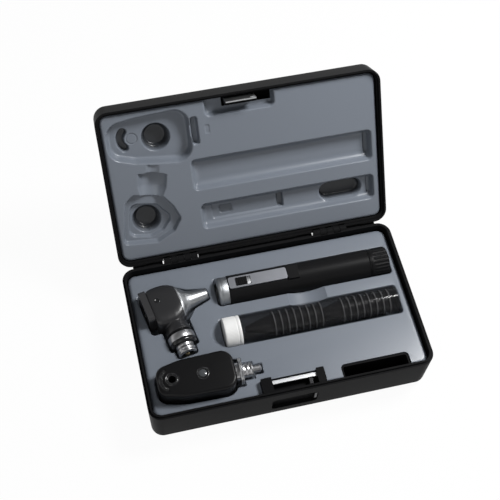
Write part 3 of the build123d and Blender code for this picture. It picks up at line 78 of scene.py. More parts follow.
camera = new_object("camera", bpy.data.cameras.new("camera"))
camera.matrix_world = Matrix((
    (SIDEWAYS.x, UPWARD.x, -AHEAD.x, EYE.x),
    (SIDEWAYS.y, UPWARD.y, -AHEAD.y, EYE.y),
    (SIDEWAYS.z, UPWARD.z, -AHEAD.z, EYE.z),
    (0, 0, 0, 1),
))
camera.data.lens = FOCAL_MM
camera.data.sensor_width = SENSOR_MM
camera.data.clip_start = 0.02
bpy.context.scene.camera = camera
bpy.context.scene.view_settings.view_transform = "Standard"
print("camera at", [round(v, 3) for v in EYE], "with a lens of", FOCAL_MM, "mm")

# %% [markdown]
# ## Node helpers
#
# Every finish is a small tree of shader nodes. One helper adds a node, sets its values and links its inputs,
# and others build on it for sums and node groups, so that each material can be read in one go.

# %% Node helpers
def add_node(tree, kind, values=None, links=None, **settings):
    """Adds one shader node; values sets sockets by name or index, links maps sockets to other outputs."""
    node = tree.nodes.new(kind)
    for name, value in settings.items():
        setattr(node, name, value)
    for key, value in (values or {}).items():
        node.inputs[key].default_value = value
    for key, source in (links or {}).items():
        tree.links.new(source, node.inputs[key])
    return node


def maths(tree, operation, *terms, **settings):
    """Adds a sum of one step and returns its output; each term is a number or another node's output."""
    values = {at: term for at, term in enumerate(terms) if isinstance(term, float)}
    links = {at: term for at, term in enumerate(terms) if at not in values}
    return add_node(tree, "ShaderNodeMath", values, links, operation=operation, **settings).outputs[0]


def tinted(tree, colour, gain):
    """A colour times a gain."""
    return add_node(tree, "ShaderNodeVectorMath", {}, {0: colour, "Scale": gain}, operation="SCALE").outputs[0]


def mixed_in(material, mask, colour):
    """Mixes a colour over the one a material already has, where the mask is 1."""
    tree = material.node_tree
    base = tree.nodes["Principled BSDF"].inputs["Base Color"]
    mix = add_node(tree, "ShaderNodeMix", {7: colour}, {0: mask, 6: base.links[0].from_socket},
                   data_type="RGBA")
    tree.links.new(mix.outputs[2], base)


def new_material(name):
    """Starts a node-based material; returns (material, node tree, shader)."""
    material = bpy.data.materials.new(name)
    material.use_nodes = True
    return material, material.node_tree, material.node_tree.nodes["Principled BSDF"]


def new_group(name, inputs, outputs):
    """Starts a shader group with named float or colour sockets; returns (tree, input node, output node)."""
    tree = bpy.data.node_groups.new(name, "ShaderNodeTree")
    for label, kind, value in inputs:
        socket = tree.interface.new_socket(name=label, in_out="INPUT", socket_type=kind)
        socket.default_value = value
    for label, kind in outputs:
        tree.interface.new_socket(name=label, in_out="OUTPUT", socket_type=kind)
    return tree, tree.nodes.new("NodeGroupInput"), tree.nodes.new("NodeGroupOutput")


FLOAT, COLOUR = "NodeSocketFloat", "NodeSocketColor"

# %% [markdown]
# ## Shared surface effects
#
# Moulded plastic is never a flat colour: it has a fine spark-eroded grain, slow changes of gloss from
# handling, and dust that settles on faces that look up. Metal carries streaks and a little haze. Each effect
# is one node group that the materials use with their own numbers.

# %% Moulded grain group
def make_moulded_grain():
    """Colour = base times a slow cloud; roughness = base plus the cloud; height = fine grain noise."""
    tree, ins, outs = new_group(
        "moulded_grain",
        [("Base", COLOUR, (0.1, 0.1, 0.1, 1)), ("Cloud", FLOAT, 0.1), ("Rough", FLOAT, 0.4),
         ("Rough Spread", FLOAT, 0.08), ("Cloud Scale", FLOAT, 12.0), ("Grain Scale", FLOAT, 2600.0)],
        [("Color", COLOUR), ("Roughness", FLOAT), ("Height", FLOAT)],
    )
    place = add_node(tree, "ShaderNodeTexCoord").outputs["Object"]
    cloud = add_node(tree, "ShaderNodeTexNoise", {"Detail": 3.0, "Roughness": 0.55},
                     {"Vector": place, "Scale": ins.outputs["Cloud Scale"]})
    centred = maths(tree, "SUBTRACT", cloud.outputs["Fac"], 0.5)
    gain = maths(tree, "ADD", maths(tree, "MULTIPLY", centred, ins.outputs["Cloud"]), 1.0)
    tint = tinted(tree, ins.outputs["Base"], gain)
    rough_swing = maths(tree, "MULTIPLY", centred, ins.outputs["Rough Spread"])
    rough = maths(tree, "ADD", rough_swing, ins.outputs["Rough"])
    grain = add_node(tree, "ShaderNodeTexNoise", {"Detail": 2.0, "Roughness": 0.6},
                     {"Vector": place, "Scale": ins.outputs["Grain Scale"]})
    tree.links.new(tint, outs.inputs["Color"])
    tree.links.new(rough, outs.inputs["Roughness"])
    tree.links.new(grain.outputs["Fac"], outs.inputs["Height"])
    return tree


MOULDED = make_moulded_grain()

# %% Settled dust group
def make_settled_dust():
    """Mask = upward-facing part of the normal, to a power, times sparse specks, times an amount."""
    tree, ins, outs = new_group(
        "settled_dust",
        [("Amount", FLOAT, 0.15), ("Speck Scale", FLOAT, 900.0)],
        [("Mask", FLOAT)],
    )
    place = add_node(tree, "ShaderNodeTexCoord").outputs["Object"]
    normal = add_node(tree, "ShaderNodeNewGeometry").outputs["Normal"]
    upness = add_node(tree, "ShaderNodeSeparateXYZ", {}, {0: normal})
    facing = maths(tree, "POWER", maths(tree, "MAXIMUM", upness.outputs["Z"], 0.0), 3.0)
    specks = add_node(tree, "ShaderNodeTexNoise", {"Detail": 1.0},
                      {"Vector": place, "Scale": ins.outputs["Speck Scale"]})
    sparse = add_node(tree, "ShaderNodeMapRange", {"From Min": 0.62, "From Max": 0.78},
                      {"Value": specks.outputs["Fac"]})
    both = maths(tree, "MULTIPLY", facing, sparse.outputs[0])
    tree.links.new(maths(tree, "MULTIPLY", both, ins.outputs["Amount"]), outs.inputs["Mask"])
    return tree


DUST = make_settled_dust()

# %% Drawn metal group
def make_drawn_metal():
    """Streaks run along the third axis of the mapped position: noise stretched by a large scale ratio."""
    tree, ins, outs = new_group(
        "drawn_metal",
        [("Base", COLOUR, (0.6, 0.6, 0.6, 1)), ("Rough", FLOAT, 0.2), ("Streak", FLOAT, 0.1),
         ("Across X", FLOAT, 30.0), ("Across Y", FLOAT, 1500.0), ("Across Z", FLOAT, 1500.0)],
        [("Color", COLOUR), ("Roughness", FLOAT), ("Height", FLOAT)],
    )
    place = add_node(tree, "ShaderNodeTexCoord").outputs["Object"]
    stretch = add_node(tree, "ShaderNodeCombineXYZ", {}, {
        0: ins.outputs["Across X"], 1: ins.outputs["Across Y"], 2: ins.outputs["Across Z"]})
    mapped = add_node(tree, "ShaderNodeVectorMath", {}, {0: place, 1: stretch.outputs[0]},
                      operation="MULTIPLY")
    streak = add_node(tree, "ShaderNodeTexNoise", {"Scale": 1.0, "Detail": 4.0, "Roughness": 0.7},
                      {"Vector": mapped.outputs[0]})
    haze = add_node(tree, "ShaderNodeTexNoise", {"Scale": 160.0, "Detail": 3.0}, {"Vector": place})
    swing = maths(tree, "MULTIPLY", maths(tree, "SUBTRACT", streak.outputs["Fac"], 0.5), ins.outputs["Streak"])
    tint = tinted(tree, ins.outputs["Base"], maths(tree, "ADD", swing, 1.0))
    haze_swing = maths(tree, "MULTIPLY_ADD", haze.outputs["Fac"], 0.06, -0.03)
    rough = maths(tree, "ADD", ins.outputs["Rough"], haze_swing)
    tree.links.new(tint, outs.inputs["Color"])
    tree.links.new(maths(tree, "ADD", rough, swing, use_clamp=True), outs.inputs["Roughness"])
    tree.links.new(streak.outputs["Fac"], outs.inputs["Height"])
    return tree


DRAWN = make_drawn_metal()
print("made the node groups", MOULDED.name, DUST.name, DRAWN.name)

# %% [markdown]
# ## Finishes
#
# One function builds any moulded plastic and another any metal, so that the case, the instruments and the
# latch differ only by their numbers: colour, gloss, grain and dust.

# %% Plastic finish
def plastic(name, colour, rough, cloud=0.12, spread=0.1, cloud_scale=12.0, grain=2600.0, bump=0.05, dust=0.0,
            specular=0.5, ior=1.5):
    """Moulded plastic: the grain group drives colour, roughness and bump, and dust whitens what faces up."""
    material, tree, shader = new_material(name)
    grain_node = add_node(tree, "ShaderNodeGroup", {
        "Base": (*colour, 1), "Cloud": cloud, "Rough": rough, "Rough Spread": spread,
        "Cloud Scale": cloud_scale, "Grain Scale": grain}, node_tree=MOULDED)
    tree.links.new(grain_node.outputs["Color"], shader.inputs["Base Color"])
    dust_node = add_node(tree, "ShaderNodeGroup", {"Amount": dust}, node_tree=DUST)
    mixed_in(material, dust_node.outputs["Mask"], (0.45, 0.45, 0.44, 1))
    tree.links.new(grain_node.outputs["Roughness"], shader.inputs["Roughness"])
    bump_node = add_node(tree, "ShaderNodeBump", {"Strength": bump, "Distance": 0.0002},
                         {"Height": grain_node.outputs["Height"]})
    tree.links.new(bump_node.outputs[0], shader.inputs["Normal"])
    shader.inputs["Specular IOR Level"].default_value = specular
    shader.inputs["IOR"].default_value = ior
    return material


# %% Metal finish
def metal(name, colour, rough, streak=0.12, across=(30.0, 1500.0, 1500.0), bump=0.03):
    """Bright metal: the drawn-metal group drives colour, roughness and bump on a fully metallic shader."""
    material, tree, shader = new_material(name)
    shader.inputs["Metallic"].default_value = 1.0
    drawn = add_node(tree, "ShaderNodeGroup", {
        "Base": (*colour, 1), "Rough": rough, "Streak": streak, "Across X": across[0], "Across Y": across[1],
        "Across Z": across[2]}, node_tree=DRAWN)
    tree.links.new(drawn.outputs["Color"], shader.inputs["Base Color"])
    tree.links.new(drawn.outputs["Roughness"], shader.inputs["Roughness"])
    bump_node = add_node(tree, "ShaderNodeBump", {"Strength": bump, "Distance": 0.0001},
                         {"Height": drawn.outputs["Height"]})
    tree.links.new(bump_node.outputs[0], shader.inputs["Normal"])
    return material


# %% Clear finish
def clear(name, colour, rough=0.06, alpha=0.3, ior=1.49):
    """Clear plastic or glass as a thin tinted film: alpha keeps what lies inside in view."""
    material, tree, shader = new_material(name)
    grain_node = add_node(tree, "ShaderNodeGroup", {
        "Base": (*colour, 1), "Cloud": 0.1, "Rough": rough, "Rough Spread": 0.06, "Cloud Scale": 40.0,
        "Grain Scale": 600.0}, node_tree=MOULDED)
    tree.links.new(grain_node.outputs["Color"], shader.inputs["Base Color"])
    tree.links.new(grain_node.outputs["Roughness"], shader.inputs["Roughness"])
    shader.inputs["Alpha"].default_value = alpha
    shader.inputs["IOR"].default_value = ior
    return material


# %% [markdown]
# ## The finishes of this set
#
# The shells and instruments are near-black plastics of different gloss, the liners a cool mid grey, the
# rings chrome, and the tube a smoky clear plastic over black specula.

# %% Materials
GREY, GREY_SHEET = (0.162, 0.182, 0.214), {
    "cloud": 0.06, "spread": 0.08, "cloud_scale": 9.0, "bump": 0.03, "grain": 1800.0, "specular": 0.45}
TURNED_GRAIN, DRAWN_GRAIN = (300.0, 300.0, 300.0), (30.0, 700.0, 700.0)

SHELL = plastic("shell_black", (0.010, 0.010, 0.0105), 0.34, cloud=0.25, dust=0.002, bump=0.06, ior=1.05)
LINER = plastic("liner_grey", GREY, 0.31, **GREY_SHEET)
# the lid's liner has its own copy of the grey, so that painted shade can be mixed into its deep recesses
LID_LINER = plastic("lid_liner_grey", GREY, 0.31, **GREY_SHEET)
INSTRUMENT = plastic("instrument_black", (0.006, 0.006, 0.0065), 0.32, cloud=0.3, dust=0.003, specular=0.16)
HANDLE_SKIN = plastic("handle_black", (0.009, 0.009, 0.0095), 0.40, cloud=0.25, bump=0.08, dust=0.003, ior=1.16)
FRAME_SKIN = plastic("frame_black", (0.032, 0.032, 0.034), 0.30, cloud=0.2, bump=0.04, specular=0.6)
OTO_SKIN = plastic("otoscope_black", (0.018, 0.018, 0.0195), 0.34, cloud=0.25, dust=0.003)
LATCH_BLACK = plastic("latch_black", (0.006, 0.006, 0.0065), 0.34, bump=0.08, ior=1.12)
CAP_WHITE = plastic("cap_white", (0.80, 0.80, 0.79), 0.45, cloud=0.05, bump=0.03)
SPECULUM = plastic("speculum_black", (0.008, 0.008, 0.009), 0.25, cloud=0.3, bump=0.03, specular=0.4)
JACKET = plastic("battery_jacket", (0.05, 0.05, 0.055), 0.35, bump=0.02)
GLOSS_BLACK = plastic("gloss_black", (0.012, 0.012, 0.013), 0.22, cloud=0.2, spread=0.05, bump=0.01)
CHROME = metal("instrument_chrome", (0.50, 0.50, 0.51), 0.30, streak=0.05, across=TURNED_GRAIN, bump=0.004)
CONE = metal("cone_silver", (0.38, 0.39, 0.40), 0.38, streak=0.04, across=(200.0, 200.0, 200.0), bump=0.004)
STEEL = metal("latch_steel", (0.54, 0.55, 0.56), 0.38, streak=0.05, across=DRAWN_GRAIN, bump=0.004)
DARK_STEEL = metal("latch_dark", (0.035, 0.035, 0.037), 0.34, streak=0.16)
COLLAR = metal("collar_silver", (0.44, 0.44, 0.45), 0.36, streak=0.05, across=TURNED_GRAIN, bump=0.004)
SATIN = metal("handle_silver", (0.37, 0.385, 0.40), 0.46, streak=0.06, across=(900.0, 60.0, 60.0), bump=0.004)
PLATE = metal("switch_silver", (0.33, 0.34, 0.37), 0.38, streak=0.05, across=DRAWN_GRAIN, bump=0.004)
PIN = metal("pin_steel", (0.45, 0.45, 0.46), 0.3)
BRASS = metal("contact_brass", (0.62, 0.50, 0.30), 0.25)
MIRROR = metal("mirror_silver", (0.9, 0.9, 0.9), 0.04, streak=0.0)
GLASS = clear("lens_glass", (0.5, 0.53, 0.55), alpha=0.35)
WINDOW = clear("window_glass", (0.07, 0.075, 0.08), rough=0.16, alpha=0.92)
LAMP = clear("lamp_glass", (0.8, 0.8, 0.78), alpha=0.5)
SMOKE = clear("tube_smoke", (0.02, 0.02, 0.021), rough=0.10, alpha=0.24)

finishes = {
    "shell_black": SHELL, "liner_grey": LINER, "pin_steel": PIN, "latch_black": LATCH_BLACK,
    "latch_steel": STEEL, "latch_dark": DARK_STEEL, "handle_silver": SATIN, "handle_black": HANDLE_SKIN,
    "switch_silver": PLATE, "contact_brass": BRASS, "battery_jacket": JACKET, "instrument_black": INSTRUMENT,
    "instrument_chrome": CHROME, "lens_glass": GLASS, "lamp_glass": LAMP, "mirror_silver": MIRROR,
    "tube_smoke": SMOKE, "cap_white": CAP_WHITE, "speculum_black": SPECULUM,
}
print("made", len(bpy.data.materials), "materials for", len(finishes), "slots")

# %% [markdown]
# ## Painted highlight and painted shade
#
# The rims of the nested specula carry a painted highlight in a paler grey, and the lid's liner carries painted
# shade, darkest where it was drawn deepest. Both are a mask that mixes a second colour into a finished material.

# %% Painted highlight on the rims of the specula
TUBE_Y, TUBE_Z = -4.4, 40.7
RIM_FROM, RIM_TO = 0.01105, 0.0114      # distances from the tube's axis, in metres


def painted_rim_highlight(material):
    """Mixes a paler painted highlight in where the distance from the tube's axis passes from RIM_FROM to RIM_TO.
    """
    tree = material.node_tree
    place = add_node(tree, "ShaderNodeTexCoord").outputs["Object"]
    centred = add_node(tree, "ShaderNodeVectorMath", {1: (0.0, TUBE_Y * MM, TUBE_Z * MM)}, {0: place},
                       operation="SUBTRACT")
    flat = add_node(tree, "ShaderNodeVectorMath", {1: (0.0, 1.0, 1.0)}, {0: centred.outputs[0]},
                    operation="MULTIPLY")
    reach = add_node(tree, "ShaderNodeVectorMath", {}, {0: flat.outputs[0]}, operation="LENGTH")
    mask = add_node(tree, "ShaderNodeMapRange", {"From Min": RIM_FROM, "From Max": RIM_TO},
                    {"Value": reach.outputs["Value"]})
    # the paler grey is a painted highlight along each speculum's rim
    mixed_in(material, mask.outputs[0], (0.16, 0.16, 0.165, 1))


painted_rim_highlight(SPECULUM)

# %% Painted shade in the lid liner's deep recesses
def painted_recess_shade(material, most=0.93):
    """Mixes a near-black painted shade into the sheet where the attribute "drawn" says that its recess is deep.
    """
    tree = material.node_tree
    drawn = add_node(tree, "ShaderNodeAttribute", attribute_name="drawn")
    # the near-black colour is painted shade, strongest at the bottom of the deepest recesses
    mixed_in(material, maths(tree, "MULTIPLY", drawn.outputs["Fac"], most), (0.012, 0.013, 0.015, 1))


painted_recess_shade(LID_LINER)
print("second colours on", SPECULUM.name, "and", LID_LINER.name)

# %% [markdown]
# ## Carried-over CAD nodes
#
# The frame's meshes are loose triangles. A geometry-nodes modifier welds them and shades every edge smooth
# that turns less than a limit, and a small bevel modifier then breaks the sharp edges, as moulding and
# machining do. The CAD mesh itself stays untouched.

# %% Smooth shading modifier
SMOOTH_TO, BEVEL_FROM = 28, 30      # edges that turn less are shaded smooth, edges that turn more are rounded


def make_weld_and_shade():
    """Geometry nodes: merge doubles, then shade smooth where neighbouring faces turn less than the limit."""
    tree = bpy.data.node_groups.new("weld_and_shade", "GeometryNodeTree")
    tree.interface.new_socket(name="Geometry", in_out="INPUT", socket_type="NodeSocketGeometry")
    limit = tree.interface.new_socket(name="Limit", in_out="INPUT", socket_type="NodeSocketFloat")
    limit.default_value = radians(SMOOTH_TO)
    tree.interface.new_socket(name="Geometry", in_out="OUTPUT", socket_type="NodeSocketGeometry")
    ins, outs = tree.nodes.new("NodeGroupInput"), tree.nodes.new("NodeGroupOutput")
    weld = tree.nodes.new("GeometryNodeMergeByDistance")
    weld.inputs["Distance"].default_value = WELD
    turn = tree.nodes.new("GeometryNodeInputMeshEdgeAngle")
    gentle = tree.nodes.new("FunctionNodeCompare")
    gentle.data_type = "FLOAT"
    gentle.operation = "LESS_EQUAL"
    faces = tree.nodes.new("GeometryNodeSetShadeSmooth")
    faces.domain = "FACE"
    edges = tree.nodes.new("GeometryNodeSetShadeSmooth")
    edges.domain = "EDGE"
    link = tree.links.new
    link(ins.outputs[0], weld.inputs["Geometry"])
    link(weld.outputs["Geometry"], faces.inputs["Geometry"])
    link(faces.outputs["Geometry"], edges.inputs["Geometry"])
    link(turn.outputs["Unsigned Angle"], gentle.inputs[0])
    link(ins.outputs[1], gentle.inputs[1])
    link(gentle.outputs[0], edges.inputs["Shade Smooth"])
    link(edges.outputs["Geometry"], outs.inputs[0])
    return tree


WELD_AND_SHADE = make_weld_and_shade()


def dress(name, material, bevel):
    """Gives one CAD node its finish, smooth shading and, if asked, a small rounding of its sharp edges."""
    node = frame["nodes"][name]
    node.data.materials.clear()
    node.data.materials.append(material)
    shade = node.modifiers.new("weld_and_shade", "NODES")
    shade.node_group = WELD_AND_SHADE
    if bevel:
        rounding = node.modifiers.new("rounding", "BEVEL")
        rounding.width = bevel
        rounding.segments = 2
        rounding.limit_method = "ANGLE"
        rounding.angle_limit = radians(BEVEL_FROM)
        rounding.harden_normals = True
        rounding.use_clamp_overlap = True


# %% Dress every node
# radius of the broken edges in metres; the nodes that are made again below need none
ROUNDING = {
    "base_shell": 0.0004, "lid_shell": 0.0004, "latch_housing": 0.0011, "catch_block": 0.0003,
    "latch_slider": 0.0002, "catch_plate": 0.00015, "switch_plate": 0.00025, "handle_body": 0.0003,
    "otoscope_eyepiece": 0.0014, "otoscope_step_ring": 0.0003,
}
# pieces whose finish differs from the rest of their slot
OWN_FINISH = {
    "otoscope_eyepiece": FRAME_SKIN, "hinge_pins": LATCH_BLACK, "switch_contact": STEEL,
    "ophthalmoscope_contact": CHROME,
}
for entry in frame["record"]["subparts"]:
    name = entry["node"]
    dress(name, OWN_FINISH.get(name, finishes[entry["material_slot"]]), ROUNDING.get(name, 0.0))
print("dressed", len(frame["nodes"]), "CAD nodes")

# %% [markdown]
# ## Surfaces from grids
#
# The soft and turned pieces are made again as fine surfaces. Each one is a grid of points worked out at once
# with numpy: a height over a plate, or a profile carried round an axis. One helper turns any such grid into
# a mesh, so that a piece is described only by its formula.

# %% Grid helper
def grid_quads(rows, columns, rings, closed):
    """Corner numbers of a grid's cells; rings joins the columns' ends to each other, closed the rows'."""
    index = np.arange(rows * columns).reshape(rows, columns)
    if closed:
        index = np.vstack([index, index[:1]])
    if rings:
        index = np.hstack([index, index[:, :1]])
    return np.stack([index[:-1, :-1], index[1:, :-1], index[1:, 1:], index[:-1, 1:]], axis=-1)


def grid_piece(name, points, material, body, nodes, rings=False, closed=False, keep=None, limit=35):
    """Mesh of a grid of points (rows, columns, xyz) in mm; keep says which cells stay.

    A body's faces are turned outwards where the volume they enclose comes out negative."""
    quads = grid_quads(*points.shape[:2], rings, closed)
    if keep is not None:
        quads = quads[keep]
    quads = quads.reshape(-1, 4)
    corners = points.reshape(-1, 3)[quads]
    cross = np.cross(corners[:, 2] - corners[:, 0], corners[:, 3] - corners[:, 1])
    if rings and (corners.mean(axis=1) * cross).sum() < 0:
        quads = quads[:, ::-1]
    mesh = bpy.data.meshes.new(name)
    mesh.vertices.add(points.shape[0] * points.shape[1])
    mesh.vertices.foreach_set("co", (points.reshape(-1, 3) * MM).ravel())
    mesh.loops.add(quads.size)
    mesh.loops.foreach_set("vertex_index", quads.ravel())
    mesh.polygons.add(len(quads))
    mesh.polygons.foreach_set("loop_start", np.arange(0, quads.size, 4))
    mesh.update(calc_edges=True)
    if rings and not closed:
        merged = bmesh.new()
        merged.from_mesh(mesh)
        bmesh.ops.remove_doubles(merged, verts=merged.verts, dist=WELD)
        merged.to_mesh(mesh)
        merged.free()
    mesh.shade_smooth()
    mesh.set_sharp_from_angle(angle=radians(limit))
    piece = new_object(name, mesh)
    mesh.materials.append(material)
    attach(piece, body)
    if nodes:
        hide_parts(*nodes)
    print(name, len(quads), "quads")
    return piece


# %% [markdown]
# ## Lid liner
#
# The liner is one thin sheet that was heated and drawn over a tool, so that every recess has drafted walls
# and is rounded at its lip and at its foot. That is a height over a plate: each recess is a depth that
# depends only on the distance to its outline. Recesses that stand apart are joined by taking the deeper one,
# and a recess in the floor of another adds to it.

# %% Distances to outlines
def box_distance(x, y, x0, x1, y0, y1, r):
    """Distance to a rectangle with corner radius r: the part outside, plus the part inside, less r."""
    across = np.abs(x - (x0 + x1) / 2) - (x1 - x0) / 2 + r
    along = np.abs(y - (y0 + y1) / 2) - (y1 - y0) / 2 + r
    outside = np.hypot(np.maximum(across, 0), np.maximum(along, 0))
    return outside + np.minimum(np.maximum(across, along), 0) - r


def hull_distance(x, y, centres, r):
    """Distance to a convex outline: nearest distance to the polygon of its corner centres, less r."""
    nearest = np.full(x.shape, np.inf)
    inside = np.full(x.shape, -np.inf)
    for (ax, ay), (bx, by) in zip(centres, centres[1:] + centres[:1]):
        ex, ey = bx - ax, by - ay
        share = np.clip(((x - ax) * ex + (y - ay) * ey) / (ex * ex + ey * ey), 0, 1)
        nearest = np.minimum(nearest, np.hypot(x - ax - share * ex, y - ay - share * ey))
        inside = np.maximum(inside, ((x - ax) * ey - (y - ay) * ex) / np.hypot(ex, ey))
    return np.where(inside < 0, -nearest, nearest) - r


# %% Profile of a pressed wall
def pressed(distance, depth, draft, lip, foot):
    """Depth at a distance from the outline: an arc of radius lip, a straight wall, an arc of radius foot."""
    turn = radians(90 - draft)
    arc = np.linspace(0, turn, 9)
    lip_in, foot_in = lip * np.tan(turn / 2), foot * np.tan(turn / 2)
    corner = depth / np.tan(turn)
    along = np.concatenate([-lip_in + lip * np.sin(arc), (corner + foot_in - foot * np.sin(arc))[::-1]])
    down = np.concatenate([lip * (1 - np.cos(arc)), (depth - foot * (1 - np.cos(arc)))[::-1]])
    return np.interp(-distance, along, down)


# %% Outlines of the lid's recesses
OTO_PLACE, OTO_ANGLE, OTO_Z = (-93.0, 31.0), radians(10), 43.0

# rectangles: x0, x1, y0, y1, corner radius, then depth, draft in degrees, lip radius, foot radius, in mm
OPH_FLANGE_SLOT = (-45.9, -39.4, -57.4, -31.4, 2.4, 6.7, 6, 0.8, 1.0)
OPH_SADDLE = (-50.0, -42.0, -50.6, -38.4, 2.4, 2.4, 12, 0.6, 0.8)
OPH_TIP = (-33.6, -29.2, -48.2, -39.8, 1.5, 0.6, 40, 0.4, 0.4)
OVER_TUBE = (
    (-50.2, 119.0, -17.2, 12.7, 4.5, 9.0, 15, 1.4, 7.5),
    (113.0, 118.0, -13.0, 9.0, 2.5, 3.0, 12, 0.8, 1.0),
)
OVER_HANDLE = (
    (-46.4, 119.0, 27.2, 52.2, 4.5, 8.0, 15, 1.4, 5.5),
    (-35.8, 32.3, 32.0, 46.8, 1.6, 1.6, 14, 0.5, 0.5),
    (26.3, 32.3, 32.6, 46.4, 1.4, 3.0, 10, 0.5, 0.8),
    (-28.8, -16.1, 35.2, 43.4, 2, 2.0, 12, 0.5, 0.6),
    (67.6, 109.0, 30.8, 49.4, 9.3, 9.0, 10, 1.2, 3.0),
    (113.6, 118.0, 31.4, 48.4, 2, 2.4, 12, 0.6, 0.8),
)
OVER_LATCH = (-31.8, 31.5, -95.0, -55.3, 5, 8.0, 12, 1.5, 2.0)

# corner centres of the convex outlines, and the corner radius
OPH_EGG = [(-107.2, -49.2), (-95, -51.0), (-60.6, -52.6), (-60.6, -31.8), (-95, -36.2), (-107.2, -40.2)], 14
OTO_OUTER = [(-15.4, -17.0), (8.5, -16.0), (17, -8.0), (23, 1.8), (19, 11), (6, 20.5), (-19.3, 22.5),
             (-19.3, -12.0)], 4.5
OTO_INNER = [(-12, -4), (3, -4), (12.0, 3.5), (8, 10.5), (0, 15), (-12, 15)], 7

# the small ring over the sight hole, and the kidney slot that bends round it
RING_X, RING_Y = -98.6, -43.4
KIDNEY_BEND, KIDNEY_REACH, KIDNEY_R = 10.4, 0.8, 3.7

# stepped cups: x, y and radius, then the steps' depth, lip radius and foot radius
OPH_CUP, OPH_CUP_STEPS = (-77.3, -41.5, 12.9), ((4.0, 1.2, 0.6), (2.5, 0.4, 0.6), (3.0, 0.4, 2.0))
OTO_CUP, OTO_CUP_STEPS = (-96.5, 35.4, 13.3), ((3.4, 0.9, 0.6), (2.5, 0.4, 0.6), (3.2, 0.4, 2.4))
CUP_STEP, CUP_DRAFT = 1.4, 8

# trough over the otoscope's neck: radius at distances down the neck, and the liner's height over its axis
NECK_AT = [8, 16, 30, 41.8, 43.4, 50.6, 52.0]
NECK_ROOM = [10.6, 11.6, 15.4, 15.4, 9.9, 9.7, 0.0]
NECK_STARTS, OVER_NECK_AXIS = 6, 7.8

# %% Depth of the lid liner
def pressed_boxes(x, y, *rows):
    """Sum of the depths of rectangular recesses, one in the floor of another."""
    return sum(pressed(box_distance(x, y, *row[:5]), *row[5:]) for row in rows)


def stepped_cup(x, y, place, steps):
    """Sum of round recesses, each CUP_STEP further in than the one before."""
    rim = np.hypot(x - place[0], y - place[1]) - place[2]
    return sum(pressed(rim + CUP_STEP * at, depth, CUP_DRAFT, lip, foot)
               for at, (depth, lip, foot) in enumerate(steps))


def lid_depth(x, y):
    """Depth of the liner below its surface at every (x, y) of the shut lid, in mm."""
    u = (x - OTO_PLACE[0]) * cos(OTO_ANGLE) + (y - OTO_PLACE[1]) * sin(OTO_ANGLE)
    v = (y - OTO_PLACE[1]) * cos(OTO_ANGLE) - (x - OTO_PLACE[0]) * sin(OTO_ANGLE)

    # over the ophthalmoscope: a kidney slot, a shallow ring and a stepped cup in one egg-shaped recess
    depth = pressed(hull_distance(x, y, *OPH_EGG), 9.5, 14, 1.6, 2.6)
    swing = np.clip(np.arctan2(y - RING_Y, -(x - RING_X)), -KIDNEY_REACH, KIDNEY_REACH)
    kidney = np.hypot(x - RING_X + KIDNEY_BEND * np.cos(swing), y - RING_Y - KIDNEY_BEND * np.sin(swing))
    depth += pressed(kidney - KIDNEY_R, 5.4, 10, 0.9, 1.2)
    ring = np.hypot(x - RING_X, y - RING_Y)
    depth += pressed(ring - 5.4, 0.8, 30, 0.4, 0.4) - pressed(ring - 4.6, 0.5, 30, 0.3, 0.3)
    depth += stepped_cup(x, y, OPH_CUP, OPH_CUP_STEPS)

    # over the otoscope: a raised step, the barrel's cup and the trough of its neck
    head = pressed(hull_distance(u, v, *OTO_OUTER), 6.2, 8, 1.4, 0.9)
    head += pressed(hull_distance(u, v, *OTO_INNER), 3.8, 14, 0.8, 1.2)
    head += stepped_cup(x, y, OTO_CUP, OTO_CUP_STEPS)
    room = np.interp(-v, NECK_AT, NECK_ROOM)
    trough = np.sqrt(np.maximum(room ** 2 - u ** 2, 0)) - OVER_NECK_AXIS
    trough = np.where(-v > NECK_STARTS, np.maximum(trough, 0), 0)

    # the rectangles, and the recess over the latch, which is open to the front
    return np.maximum.reduce([
        depth, pressed_boxes(x, y, OPH_FLANGE_SLOT), pressed_boxes(x, y, OPH_SADDLE),
        pressed_boxes(x, y, OPH_TIP), pressed_boxes(x, y, *OVER_TUBE), pressed_boxes(x, y, *OVER_HANDLE),
        head, trough, pressed_boxes(x, y, OVER_LATCH)])


# %% Grid of the lid liner
LID_LEVEL, LINER_X, LINER_Y, LINER_R = 50.8, 125.0, 71.2, 8.0
HINGE_AT, OPENED = (76.2, 47.1), radians(-123.9)
CATCH_HOLE = (-15.2, 29.4, -72.0, -60.3)
SKIRT_DROP, EDGE_ROLL = 9.0, 3.2        # height of the skirt, and radius of the sheet's outer edge
ON_SKIRT, PAST_SKIRT = 0.01, 0.6        # a point further out is on the skirt; a cell further out is dropped
# painted shade darkens the sheet from the first depth on, over the second number of mm
PAINTED_SHADE_FROM, PAINTED_SHADE_OVER = 9.8, 5.5       # the sheet darkens from this depth on, over so many mm
LINES_X = ((-125.5, -56, 0.52), (-56, -28, 0.56), (-28, -15.2, 0.8), (-15.2, 23.6, 1.3), (23.6, 29.4, 0.58),
           (29.4, 34, 0.58), (34, 64, 1.6), (64, 77, 0.65), (77, 96, 1.4), (96, 121, 0.55),
           (121, 125.5, 0.64))
LINES_Y = ((-71.7, -60.3, 0.6), (-60.3, 71.7, 0.6))


def stepped(*spans):
    """Grid lines: each span is (start, end, pitch) and gives evenly spaced values up to its end."""
    return np.unique(np.concatenate([
        np.linspace(start, end, max(2, round((end - start) / pitch) + 1)) for start, end, pitch in spans]))


def swung_open(points):
    """Turns points of the shut lid about the hinge axis to where the lid stands open."""
    dy, dz = points[..., 1] - HINGE_AT[0], points[..., 2] - HINGE_AT[1]
    return np.stack([points[..., 0], HINGE_AT[0] + dy * cos(OPENED) - dz * sin(OPENED),
                     HINGE_AT[1] + dy * sin(OPENED) + dz * cos(OPENED)], axis=-1)


def off_the_plate(x, y):
    """Distance to the sheet's outline, negative inside it."""
    return box_distance(x, y, -LINER_X, LINER_X, -LINER_Y, LINER_Y, LINER_R)


